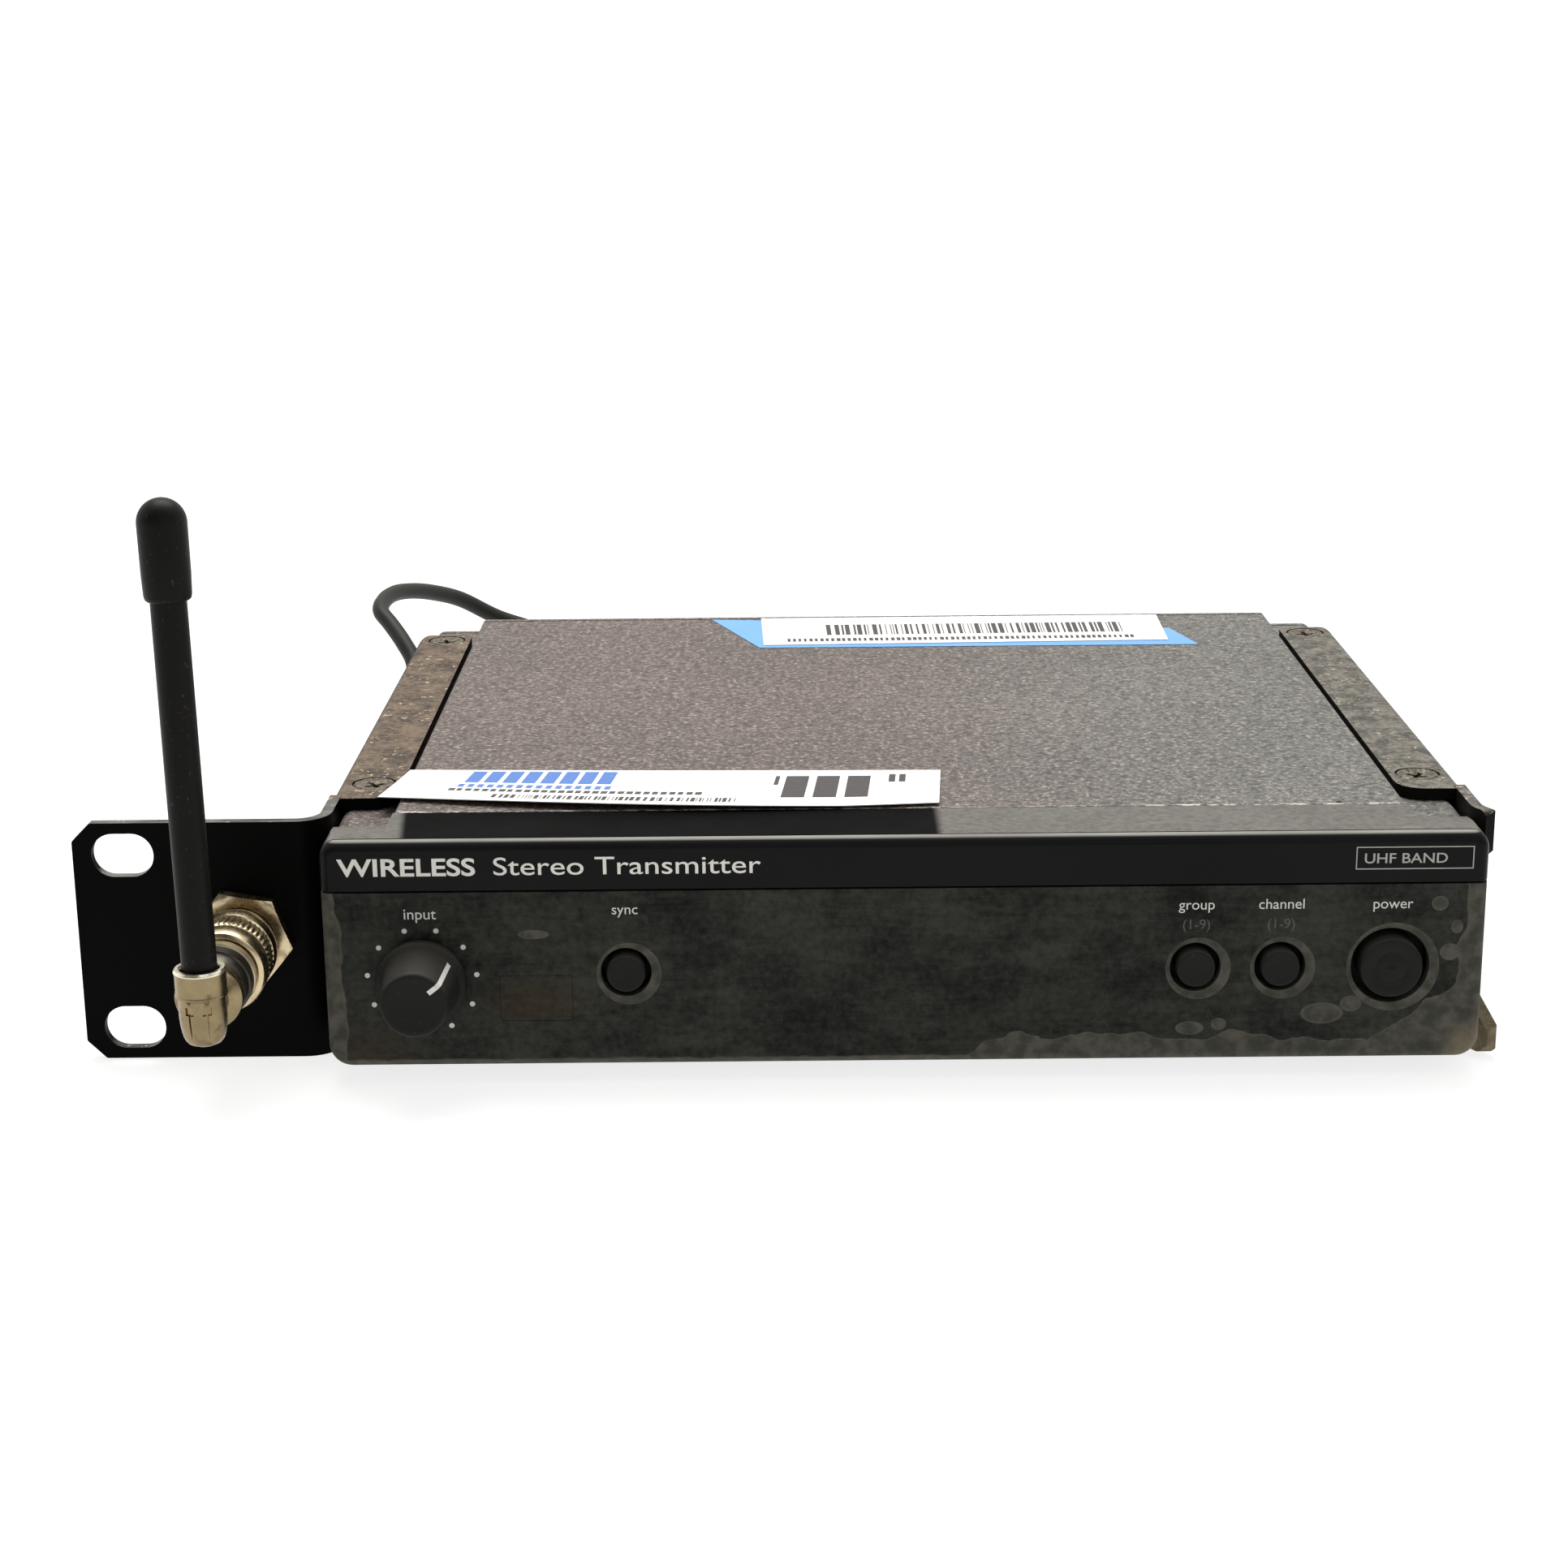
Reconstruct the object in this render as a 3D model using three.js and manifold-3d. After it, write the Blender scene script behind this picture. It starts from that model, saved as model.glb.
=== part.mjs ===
// Half-rack wireless transmitter on its rack brackets, with a swivelling whip antenna
// on the long ear and a coax jumper from the rear jack to the back of the ear.
//
// Units are millimetres. +Z is up, -Y is the front, +X is right as seen from the front.
// The origin is the middle of the housing's flat underside.

import * as THREE from 'three';
import { mergeVertices } from 'three/addons/utils/BufferGeometryUtils.js';
import Module from 'manifold-3d';

const wasm = await Module();
wasm.setup();

// ---------------------------------------------------------------- driving dimensions

const gap = 0.3; // clearance between pieces that sit against each other
const lap = 2; // how far the parts of one piece run into each other
const overrun = 1; // how far a cutter runs past the face it cuts

// Housing
const bodyWidth = 198;
const bodyDepth = 172;
const bodyHeight = 40.6;
const sheetThickness = 1.2;
const shelfWidth = 10.5; // lowered ledge along each side, top and bottom
const shelfDrop = 2.6;
const housingEdgeRadius = 2;
const seamHeight = 14; // where cover and pan meet on the sides
const rearPanelThickness = 1.6;
const footRadius = 6;
const footHeight = 2.8;
const footTaper = 1;
const footRoom = 0.5; // clearance round a foot in its dimple
const dimpleDepth = 0.4;
const footInsetX = 19;
const footInsetY = 24;
const bossRadius = 3;
const bossFromStep = 10;
const bossFromFront = 14;
const bossFromRear = 34;

// Front
const bezelDepth = 15.2;
const bezelWall = 2.4;
const frontPlateThickness = 2;
const frontEdgeRadius = 1.8;
const frontTopRadius = 3;
const frontBottomRadius = 4;
const stripHeight = 8.7;

// Controls on the front
const knobInset = 16.75; // from the left edge of the front
const knobHeight = 15.8; // axis above the underside
const knobBaseRadius = 7.75;
const knobTipRadius = 5.75;
const knobLength = 11.4;
const knobStandoff = 0.8;
const knobCapThickness = 2.2;
const knobSkirt = 2.6;
const knobFlare = 1.1; // skirt radius above the cone's foot
const knobFlareRise = 0.7;
const knobEdge = 0.8;
const pointerLength = 4.4;
const pointerWidth = 0.7;
const pointerDepth = 0.8;
const pointerStart = 1.6; // centre of the groove in from the cap's edge
const shaftRadius = 3;
const shaftRoom = 0.7;
const shaftIntoPot = 4.6;
const pointerAngle = 39.6; // degrees from the right-hand side, anticlockwise from the front
const potentiometerSize = 16;
const buttonHeight = 17.1;
const buttonRadius = 3.3;
const buttonClearance = 1.05; // dark ring round a small button
const buttonTravel = 0.5;
const buttonProud = 1.2;
const powerInset = 16.1; // from the right edge of the front
const powerButtonRadius = 5.3;
const powerClearance = 1.4;
const powerTravel = 1.5;
const powerProud = 1.6;
const channelFromPower = 18.8;
const groupFromChannel = 14.4;
const syncFromKnob = 34.85;
const windowFromKnob = 19.4;
const windowWidth = 12.3;
const windowHeight = 8.1;
const windowCentreZ = 12.5;
const buttonEdge = 0.5;
const buttonStemRadius = 1.5;
const buttonStemLength = 0.8;
const flangeThickness = 1;
const flangeOverlap = 1.2;

// Boards
const boardThickness = 1.6;
const mainBoardHeight = 6.3;
const controlBoardFromWall = 7.7;
const tactSize = 6;
const plungerRadius = 1.7;
const plungerHeight = 1;
const displayWidth = 48;
const displayHeight = 6.4;
const displayPocket = 0.8; // wall left in front of the display
const boardEdge = 6; // control board in from the housing's side
const boardAboveWall = 1.6;
const boardBelowTop = 5;
const mainBoardInset = 8;
const mainBoardFromControl = 4;
const mainBoardFromRear = 2;
const shieldFromEdge = 8;
const shieldFromFront = 24;
const shieldWidth = 56;
const shieldDepth = 48;
const shieldHeight = 9;
const shieldWall = 0.8;

// Brackets
const bracketThickness = 2;
const stripInset = 9.7; // how far a bracket strip reaches in from the side of the housing
const stripFrontFromFace = 28;
const stripRearFromBack = 14;
const bracketBendRadius = 2.5;
const stripInnerCorner = 5;
const stripRearCorner = 3.5;
const screwInset = 4.5; // from the side of the housing
const screwFromStripEnd = 9.8;
const screwRearFromEnd = 5.2;
const screwHeadRadius = 3.75;
const screwHeadDepth = 2.1;
const screwRim = 0.4;
const recessLength = 4;
const recessWidth = 0.9;
const recessDepth = 1.3;
const screwShankRadius = 1.5;
const screwLength = 8;
const earOuter = 44.9; // from the side of the housing to the ear's free edge
const earSetback = 13.5; // ear front face behind the front of the housing
const earHeight = 43.4;
const earBottom = -3;
const earBendInside = 4;
const earChamfer = 3.3;
const slotSpacing = 31.75;
const slotLength = 10.8;
const slotHeight = 7.8;
const slotFlat = 0.1; // straight part left at each end of a slot
const slotFromEdge = 8.7;
const tabTurn = 28; // degrees that the right-hand tabs flare out
const tabBendRadius = 6;
const topTabLength = 2.1;
const topTabStart = 18;
const webFromTab = 3; // from the top tab's bend back to the web's front edge
const topTabHeight = 11.4;
const lowTabLength = 4.6;
const lowTabStart = 15;
const lowTabHeight = 12;
const lowTabFoot = 2; // corner cut under the low tab's tip
const lowTabFall = 7.2; // fall of the low tab's top edge to its tip
const topTabTip = 1; // corner cut over the top tab's tip
const topTabRise = 5; // rise of the top tab's lower edge to its tip

// Coaxial fittings
const adapterFromSide = 16.2; // adapter axis from the side of the housing
const adapterHeight = 19.5;
const threadRadius = 6;
const barrelRadius = 4.85;
const nutWall = 2; // thread to flat
const nutThickness = 2.5;
const nutToBarrel = 1.7; // thread left bare in front of a nut
const threadEnd = 1.2;
const nutTurn = -9.4;
const washerThickness = 0.8;
const washerWidth = 2.3;
const flangeNutThickness = 3;
const barrelLength = 11;
const barrelRoot = 1; // bare barrel behind the flange nut
const ringWall = 2.15;
const ringLength = 13.6;
const ringOverlap = 1; // by how much a ring stops short of its barrel's root
const ringEdge = 0.8;
const ringLip = 0.6;
const ringChamfer = 1.2;
const collarRadius = 6;
const collarLength = 8.7;
const collarEdge = 0.4;
const neckStep = 0.45; // neck radius below the barrel's
const plugRadius = 4.6;
const plugEdge = 0.8;
const plugLength = 6;
const sleeveRadius = 3.2;
const sleeveLength = 6;
const jackInside = 8; // antenna jack inside the rear panel
const rearNutTurn = 12;
const rearJackInset = 33; // antenna jack axis from the left side of the housing

// Antenna
const elbowDiscRadius = 5.6;
const elbowReach = 7.4; // collar face to whip axis
const cupWall = 1.1;
const footStep = 0.4; // elbow foot radius below the cup's
const elbowTop = 7; // cup rim above the adapter axis
const elbowBottom = 6.3; // underside below the adapter axis
const elbowRidge = 2.4; // where cup meets foot, above the adapter axis
const elbowDiscThickness = 3.2;
const elbowDiscBevel = 1;
const elbowStem = 2; // stem radius below the disc's
const footFloor = 2.2; // foot rounds in by this much to its underside
const footCorner = 0.7;
const rodSeat = 3.1; // bore's floor below the adapter axis
const whipLean = 0.8; // degrees, the whip's tip towards the ear's end
const rodRadius = 2.9;
const rodTop = 67.9; // where the cap starts, above the adapter axis
const capWall = 0.75;
const capLength = 16.2;
const capDraft = 0.2;
const capBoreDepth = 10;

// Rear sockets
const socketHeight = 19.5;
const jackPitch = 20;
const jackWidth = 14;
const jackHeight = 16;
const jackDepth = 26;
const bushRadius = 5.6;
const bushLength = 4.5;
const jackBoreRadius = 3.3;
const socketFloor = 2; // wall left behind a socket's bore
const socketLap = 2; // how far a bush reaches into its shell
const inletInset = 19;
const inletFromJack = 24;
const inletRadius = 4.6;
const inletHousingMargin = 1; // housing above and below the inlet's barrel
const inletBoreRadius = 3.1;
const inletPinRadius = 1;
const inletDepth = 12;
const leverWidth = 2.5;
const leverHeight = 2.6;
const leverTravel = 4;
const leverProud = 1.8;
const leverRoot = 2.4;
const switchWidth = 11;
const switchHeight = 7;
const switchDepth = 8;

// Coax jumper
const cableRadius = 1.9;
const cableSides = 8;
const cableSteps = 64;

// ---------------------------------------------------------------- derived places

const halfWidth = bodyWidth / 2;
const frontY = -bodyDepth / 2;
const rearY = bodyDepth / 2;
const shelfTop = bodyHeight - shelfDrop;
const stepX = halfWidth - shelfWidth;
const bezelFront = frontY + frontPlateThickness + gap;
const bezelRear = bezelFront + bezelDepth;
const bezelInner = bezelFront + bezelWall;
const stripSeam = bodyHeight - stripHeight;
const coverFront = bezelRear + gap;
const coverRear = rearY - rearPanelThickness - gap;
const controlBoardY = bezelInner + controlBoardFromWall;
const boardFace = controlBoardY - gap;

const buttonHoleRadius = buttonRadius + buttonClearance;
const powerHoleRadius = powerButtonRadius + powerClearance;
const knobX = -halfWidth + knobInset;
const powerX = halfWidth - powerInset;
const channelX = powerX - channelFromPower;
const groupX = channelX - groupFromChannel;
const syncX = knobX + syncFromKnob;
const windowX = knobX + windowFromKnob;

const plateInner = halfWidth + gap;
const plateOuter = plateInner + bracketThickness;
const stripTopZ = shelfTop + gap + bracketThickness;
const stripBottomZ = shelfDrop - gap - bracketThickness;
const stripFront = frontY + stripFrontFromFace;
const stripRear = rearY - stripRearFromBack;
const screwX = halfWidth - screwInset;
const screwRows = [stripFront + screwFromStripEnd, stripRear - screwRearFromEnd];

const nutAcrossFlats = 2 * (threadRadius + nutWall);
const washerRadius = threadRadius + gap + washerWidth;
const ringRadius = barrelRadius + gap + ringWall;
const neckRadius = barrelRadius - neckStep;
const elbowCupRadius = rodRadius + gap + cupWall;
const elbowFootRadius = elbowCupRadius - footStep;
const capRadius = rodRadius + gap + capWall;

const earFrontY = frontY + earSetback;
const earRearY = earFrontY + bracketThickness;
const earEdgeX = -halfWidth - earOuter;
const earMidZ = earBottom + earHeight / 2;
const adapterX = -halfWidth - adapterFromSide;
const nutFront = earFrontY - gap - nutThickness;
const barrelFront = nutFront - nutToBarrel - barrelLength;
const washerRear = earRearY + gap + washerThickness;
const adapterFlangeRear = washerRear + gap + flangeNutThickness;
const ringClosed = ringLength - barrelLength + ringOverlap;
const ringFront = barrelFront - ringClosed;
const collarFront = ringFront - collarLength;
const whipY = collarFront - gap - elbowReach;

const inletX = halfWidth - inletInset;
const jackXs = [1, 2, 3, 4].map((n) => inletX - inletFromJack - (n - 1) * jackPitch);
const rearJackX = -halfWidth + rearJackInset;
const leverX = (rearJackX + jackXs[3]) / 2;
const leverStart = leverX - leverTravel / 2;

// ---------------------------------------------------------------- solids

// Closed geometry with only positions, shared vertices merged, faces turned outward.
function solid(geometry) {
  const bare = new THREE.BufferGeometry();
  bare.setAttribute('position', geometry.getAttribute('position').clone());
  if (geometry.index) bare.setIndex(geometry.index.clone());
  const merged = mergeVertices(bare, 1e-4);
  const positions = Float32Array.from(merged.getAttribute('position').array);
  const index = merged.index.array;
  const kept = [];
  let volume = 0;
  const corner = [new THREE.Vector3(), new THREE.Vector3(), new THREE.Vector3()];
  for (let i = 0; i < index.length; i += 3) {
    const [a, b, c] = [index[i], index[i + 1], index[i + 2]];
    if (a === b || b === c || c === a) continue;
    kept.push(a, b, c);
    [a, b, c].forEach((v, k) => corner[k].fromArray(positions, v * 3));
    volume += corner[0].dot(corner[1].clone().cross(corner[2]));
  }
  if (volume < 0) kept.reverse();
  return new wasm.Manifold(new wasm.Mesh({
    numProp: 3,
    vertProperties: positions,
    triVerts: Uint32Array.from(kept),
  }));
}

function toGeometry(manifold) {
  const mesh = manifold.getMesh();
  const geometry = new THREE.BufferGeometry();
  geometry.setAttribute('position', new THREE.BufferAttribute(Float32Array.from(mesh.vertProperties), 3));
  geometry.setIndex(Array.from(mesh.triVerts));
  geometry.computeVertexNormals();
  return geometry;
}

function block(x0, x1, y0, y1, z0, z1) {
  const geometry = new THREE.BoxGeometry(x1 - x0, y1 - y0, z1 - z0);
  geometry.translate((x0 + x1) / 2, (y0 + y1) / 2, (z0 + z1) / 2);
  return solid(geometry);
}

// A box given by its middle and its full sizes.
function brick(x, y, z, width, depth, height) {
  return block(x - width / 2, x + width / 2, y - depth / 2, y + depth / 2, z - height / 2, z + height / 2);
}

const flat = { bevelEnabled: false, curveSegments: 3 };

// A plan outline (x, y) raised from z0 to z1.
function raised(shape, z0, z1) {
  const geometry = new THREE.ExtrudeGeometry(shape, { ...flat, depth: z1 - z0 });
  geometry.translate(0, 0, z0);
  return solid(geometry);
}

// A front-view outline (x, z) drawn back from y0 to y1.
function drawn(shape, y0, y1) {
  const geometry = new THREE.ExtrudeGeometry(shape, { ...flat, depth: y1 - y0 });
  geometry.rotateX(Math.PI / 2);
  geometry.translate(0, y1, 0);
  return solid(geometry);
}

// A side-view outline (y, z) drawn across from x0 to x1.
function across(shape, x0, x1) {
  const geometry = new THREE.ExtrudeGeometry(shape, { ...flat, depth: x1 - x0 });
  const toSide = new THREE.Matrix4();
  toSide.makeBasis(new THREE.Vector3(0, 1, 0), new THREE.Vector3(0, 0, 1), new THREE.Vector3(1, 0, 0));
  geometry.applyMatrix4(toSide);
  geometry.translate(x0, 0, 0);
  return solid(geometry);
}

// A turned piece on the line through (x, z) along Y; the profile lists [radius, y].
function turnedY(profile, x, z, sides = 18) {
  const geometry = new THREE.LatheGeometry(profile.map(([r, y]) => new THREE.Vector2(r, y)), sides);
  geometry.translate(x, 0, z);
  return solid(geometry);
}

// A turned piece on the line through (x, y) along Z; the profile lists [radius, z].
function turnedZ(profile, x, y, sides = 18) {
  const geometry = new THREE.LatheGeometry(profile.map(([r, z]) => new THREE.Vector2(r, z)), sides);
  geometry.rotateX(Math.PI / 2);
  geometry.translate(x, y, 0);
  return solid(geometry);
}

function rodY(radius, x, z, y0, y1, sides = 18) {
  return turnedY([[0, y0], [radius, y0], [radius, y1], [0, y1]], x, z, sides);
}

function rodZ(radius, x, y, z0, z1, sides = 18) {
  return turnedZ([[0, z0], [radius, z0], [radius, z1], [0, z1]], x, y, sides);
}

function join(...pieces) {
  return pieces.reduce((whole, piece) => whole.add(piece));
}

function cut(whole, ...tools) {
  return tools.reduce((rest, tool) => rest.subtract(tool), whole);
}

// A polygon whose corners [x, y, radius] are rounded where the radius is above zero.
function rounded(corners) {
  const shape = new THREE.Shape();
  const count = corners.length;
  corners.forEach(([x, y, radius = 0], i) => {
    const at = new THREE.Vector2(x, y);
    const before = new THREE.Vector2(...corners[(i + count - 1) % count].slice(0, 2));
    const after = new THREE.Vector2(...corners[(i + 1) % count].slice(0, 2));
    const inward = before.clone().sub(at).normalize();
    const outward = after.clone().sub(at).normalize();
    const half = Math.acos(THREE.MathUtils.clamp(inward.dot(outward), -1, 1)) / 2;
    const reach = radius / Math.tan(half);
    const start = at.clone().addScaledVector(inward, reach);
    const end = at.clone().addScaledVector(outward, reach);
    if (i === 0) shape.moveTo(start.x, start.y);
    else shape.lineTo(start.x, start.y);
    if (radius > 0) {
      const bisector = inward.clone().add(outward).normalize();
      const centre = at.clone().addScaledVector(bisector, radius / Math.sin(half));
      const from = start.clone().sub(centre).angle();
      const to = end.clone().sub(centre).angle();
      const clockwise = inward.cross(outward) > 0;
      shape.absarc(centre.x, centre.y, radius, from, to, clockwise);
    }
  });
  shape.closePath();
  return shape;
}

// ---------------------------------------------------------------- assembly

const transmitter = new THREE.Group();

function finish(color, roughness, metalness = 0) {
  return { color, roughness, metalness };
}

const finishes = {
  powderCoat: finish(0x3a3836, 0.75),
  moulding: finish(0x2c2b29, 0.6),
  gloss: finish(0x101010, 0.2),
  overlay: finish(0x272622, 0.5),
  infrared: finish(0x2a1a16, 0.3),
  blackSteel: finish(0x141414, 0.45),
  bronzeSteel: finish(0x3a362e, 0.5, 0.3),
  nickel: finish(0xb4a078, 0.3, 1),
  darkMetal: finish(0x3c4046, 0.3, 1),
  rubber: finish(0x242322, 0.8),
  jacket: finish(0x34342f, 0.6),
  plastic: finish(0x181818, 0.5),
  board: finish(0x1d4a2c, 0.6),
  tin: finish(0xa8a8a4, 0.35, 1),
};

function place(name, manifold, look) {
  const mesh = new THREE.Mesh(toGeometry(manifold), new THREE.MeshStandardMaterial(finishes[look]));
  mesh.name = name;
  transmitter.add(mesh);
}

// ---------------------------------------------------------------- housing

// Cross-section of the housing, with a lowered ledge on each side above and below.
function housingOutline(inset) {
  const side = halfWidth - inset;
  const step = stepX - inset;
  const top = bodyHeight - inset;
  const ledge = shelfTop - inset;
  const edge = Math.max(housingEdgeRadius - inset, 0);
  const upper = [[side, ledge, edge], [step, ledge], [step, top, edge / 2]];
  const lower = upper.map(([x, z, r]) => [x, bodyHeight - z, r]).reverse();
  const right = [...lower, ...upper];
  const left = right.map(([x, z, r]) => [-x, z, r]).reverse();
  return rounded([...right, ...left]);
}

// A bracket screw: dished head, shank, cross recess. Room is added for its hole.
function screwSolid(x, y, top, direction, room) {
  const head = screwHeadRadius + room;
  const shank = screwShankRadius + room;
  const rise = room > 0 ? gap : 0;
  const profile = [
    [0, rise], [head, rise], [head, -screwRim], [shank, -screwHeadDepth], [shank, -screwLength - room],
    [0, -screwLength - room],
  ].map(([r, z]) => [r, top + direction * z]);
  return turnedZ(profile, x, y, 14);
}

function crossRecess(x, y, top, direction) {
  const height = recessDepth + gap;
  const z = top + direction * (gap - height / 2);
  return join(
    brick(x, y, z, recessLength, recessWidth, height),
    brick(x, y, z, recessWidth, recessLength, height),
  );
}

const screwPlaces = [];
for (const side of [-1, 1]) {
  for (const y of screwRows) {
    screwPlaces.push({ x: side * screwX, y, top: stripTopZ, direction: 1, level: 'top' });
    screwPlaces.push({ x: side * screwX, y, top: stripBottomZ, direction: -1, level: 'bottom' });
  }
}
const screwHoles = join(...screwPlaces.map((s) => screwSolid(s.x, s.y, s.top, s.direction, gap)));

const footX = halfWidth - footInsetX;
const footY = rearY - footInsetY;
const footPlaces = [[-footX, -footY], [-footX, footY], [footX, -footY], [footX, footY]];

function makeHousing() {
  const shell = cut(
    drawn(housingOutline(0), coverFront, coverRear),
    drawn(housingOutline(sheetThickness), coverFront - overrun, coverRear + overrun),
    screwHoles,
  );
  const reach = halfWidth + overrun;
  const above = block(-reach, reach, frontY, rearY, seamHeight, bodyHeight + overrun);
  const below = block(-reach, reach, frontY, rearY, -overrun, seamHeight - gap);
  place('top_cover', shell.intersect(above), 'powderCoat');

  const bosses = [];
  for (const x of [-1, 1]) {
    for (const y of [coverFront + bossFromFront, coverRear - bossFromRear]) {
      const bossX = x * (stepX - bossFromStep);
      bosses.push(rodZ(bossRadius, bossX, y, sheetThickness / 2, mainBoardHeight - gap, 12));
    }
  }
  const dimples = footPlaces.map(([x, y]) => rodZ(footRadius + footRoom, x, y, -overrun, dimpleDepth, 16));
  place('base_pan', cut(join(shell.intersect(below), ...bosses), ...dimples), 'powderCoat');

  const panelHoles = [
    ...jackXs.map((x) => rodY(bushRadius + gap, x, socketHeight, coverRear, rearY + overrun, 16)),
    rodY(threadRadius + gap, rearJackX, socketHeight, coverRear, rearY + overrun),
    rodY(inletRadius + gap, inletX, socketHeight, coverRear, rearY + overrun),
    leverSlot(coverRear, rearY + overrun),
  ];
  const panel = drawn(housingOutline(0), rearY - rearPanelThickness, rearY);
  place('rear_panel', cut(panel, ...panelHoles), 'powderCoat');

  const sole = -gap - footHeight;
  const footTop = dimpleDepth - gap;
  const profile = [
    [0, footTop], [footRadius, footTop], [footRadius, sole + gap], [footRadius - footTaper, sole], [0, sole],
  ];
  footPlaces.forEach(([x, y], n) => place(`foot_${n + 1}`, turnedZ(profile, x, y, 16), 'rubber'));
}

// ---------------------------------------------------------------- front

function frontOutline(inset) {
  const side = halfWidth - inset;
  const low = frontBottomRadius - inset;
  const high = frontTopRadius - inset;
  const top = bodyHeight - inset;
  return rounded([[-side, inset, low], [side, inset, low], [side, top, high], [-side, top, high]]);
}

// The front plate with its front edges rolled over.
function frontPlate() {
  const geometry = new THREE.ExtrudeGeometry(frontOutline(frontEdgeRadius), {
    depth: frontPlateThickness,
    bevelThickness: frontEdgeRadius,
    bevelSize: frontEdgeRadius,
    bevelSegments: 3,
    curveSegments: 4,
  });
  geometry.rotateX(Math.PI / 2);
  geometry.translate(0, frontY + frontEdgeRadius + frontPlateThickness, 0);
  const reach = halfWidth + overrun;
  const kept = block(
    -reach, reach, frontY - overrun, frontY + frontPlateThickness, -overrun, bodyHeight + overrun,
  );
  return solid(geometry).intersect(kept);
}

const smallShape = {
  radius: buttonRadius, hole: buttonHoleRadius, travel: buttonTravel, proud: buttonProud,
};
const powerShape = {
  radius: powerButtonRadius, hole: powerHoleRadius, travel: powerTravel, proud: powerProud,
};
const pushButtons = [
  { name: 'sync', x: syncX, scale: 1, ...smallShape },
  { name: 'group', x: groupX, scale: 1, ...smallShape },
  { name: 'channel', x: channelX, scale: 1, ...smallShape },
  { name: 'power', x: powerX, scale: 2, ...powerShape },
];

function controlHoles(y0, y1) {
  const holes = pushButtons.map((b) => rodY(b.hole, b.x, buttonHeight, y0, y1));
  holes.push(rodY(shaftRadius + shaftRoom, knobX, knobHeight, y0, y1));
  return holes;
}

function makeFront() {
  const reach = halfWidth + overrun;
  const plate = frontPlate();
  const upper = block(-reach, reach, frontY - overrun, bezelFront, stripSeam, bodyHeight + overrun);
  const lower = block(-reach, reach, frontY - overrun, bezelFront, -overrun, stripSeam - gap);
  place('display_strip', plate.intersect(upper), 'gloss');
  const windowRoom = brick(
    windowX, frontY, windowCentreZ, windowWidth + 2 * gap, 4 * frontPlateThickness, windowHeight + 2 * gap,
  );
  const overlay = cut(plate.intersect(lower), windowRoom, ...controlHoles(frontY - overrun, bezelFront));
  place('front_overlay', overlay, 'overlay');
  const windowPlate = brick(
    windowX, frontY + frontPlateThickness / 2, windowCentreZ, windowWidth, frontPlateThickness, windowHeight,
  );
  place('infrared_window', windowPlate, 'infrared');

  // Bezel: a deep frame whose top falls away towards the ledges at each end.
  const wide = halfWidth - bezelWall;
  const narrow = stepX - bezelWall;
  const fall = rounded([
    [bezelFront, bodyHeight + gap], [bezelRear + overrun, shelfTop],
    [bezelRear + overrun, bodyHeight + lap], [bezelFront, bodyHeight + lap],
  ]);
  const displayRoom = block(
    -displayWidth / 2 - gap, displayWidth / 2 + gap, bezelFront + displayPocket, bezelRear + overrun,
    stripSeam - bezelWall, bodyHeight - bezelWall + gap,
  );
  const bezel = cut(
    drawn(frontOutline(0), bezelFront, bezelRear),
    block(-wide, wide, bezelInner, bezelRear + overrun, bezelWall, shelfTop - bezelWall),
    block(-narrow, narrow, bezelInner, bezelRear + overrun, bezelWall, bodyHeight - bezelWall),
    across(fall, stepX, reach),
    across(fall, -reach, -stepX),
    displayRoom,
    ...controlHoles(bezelFront - overrun, bezelInner + overrun),
  );
  place('front_bezel', bezel, 'moulding');
}

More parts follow.
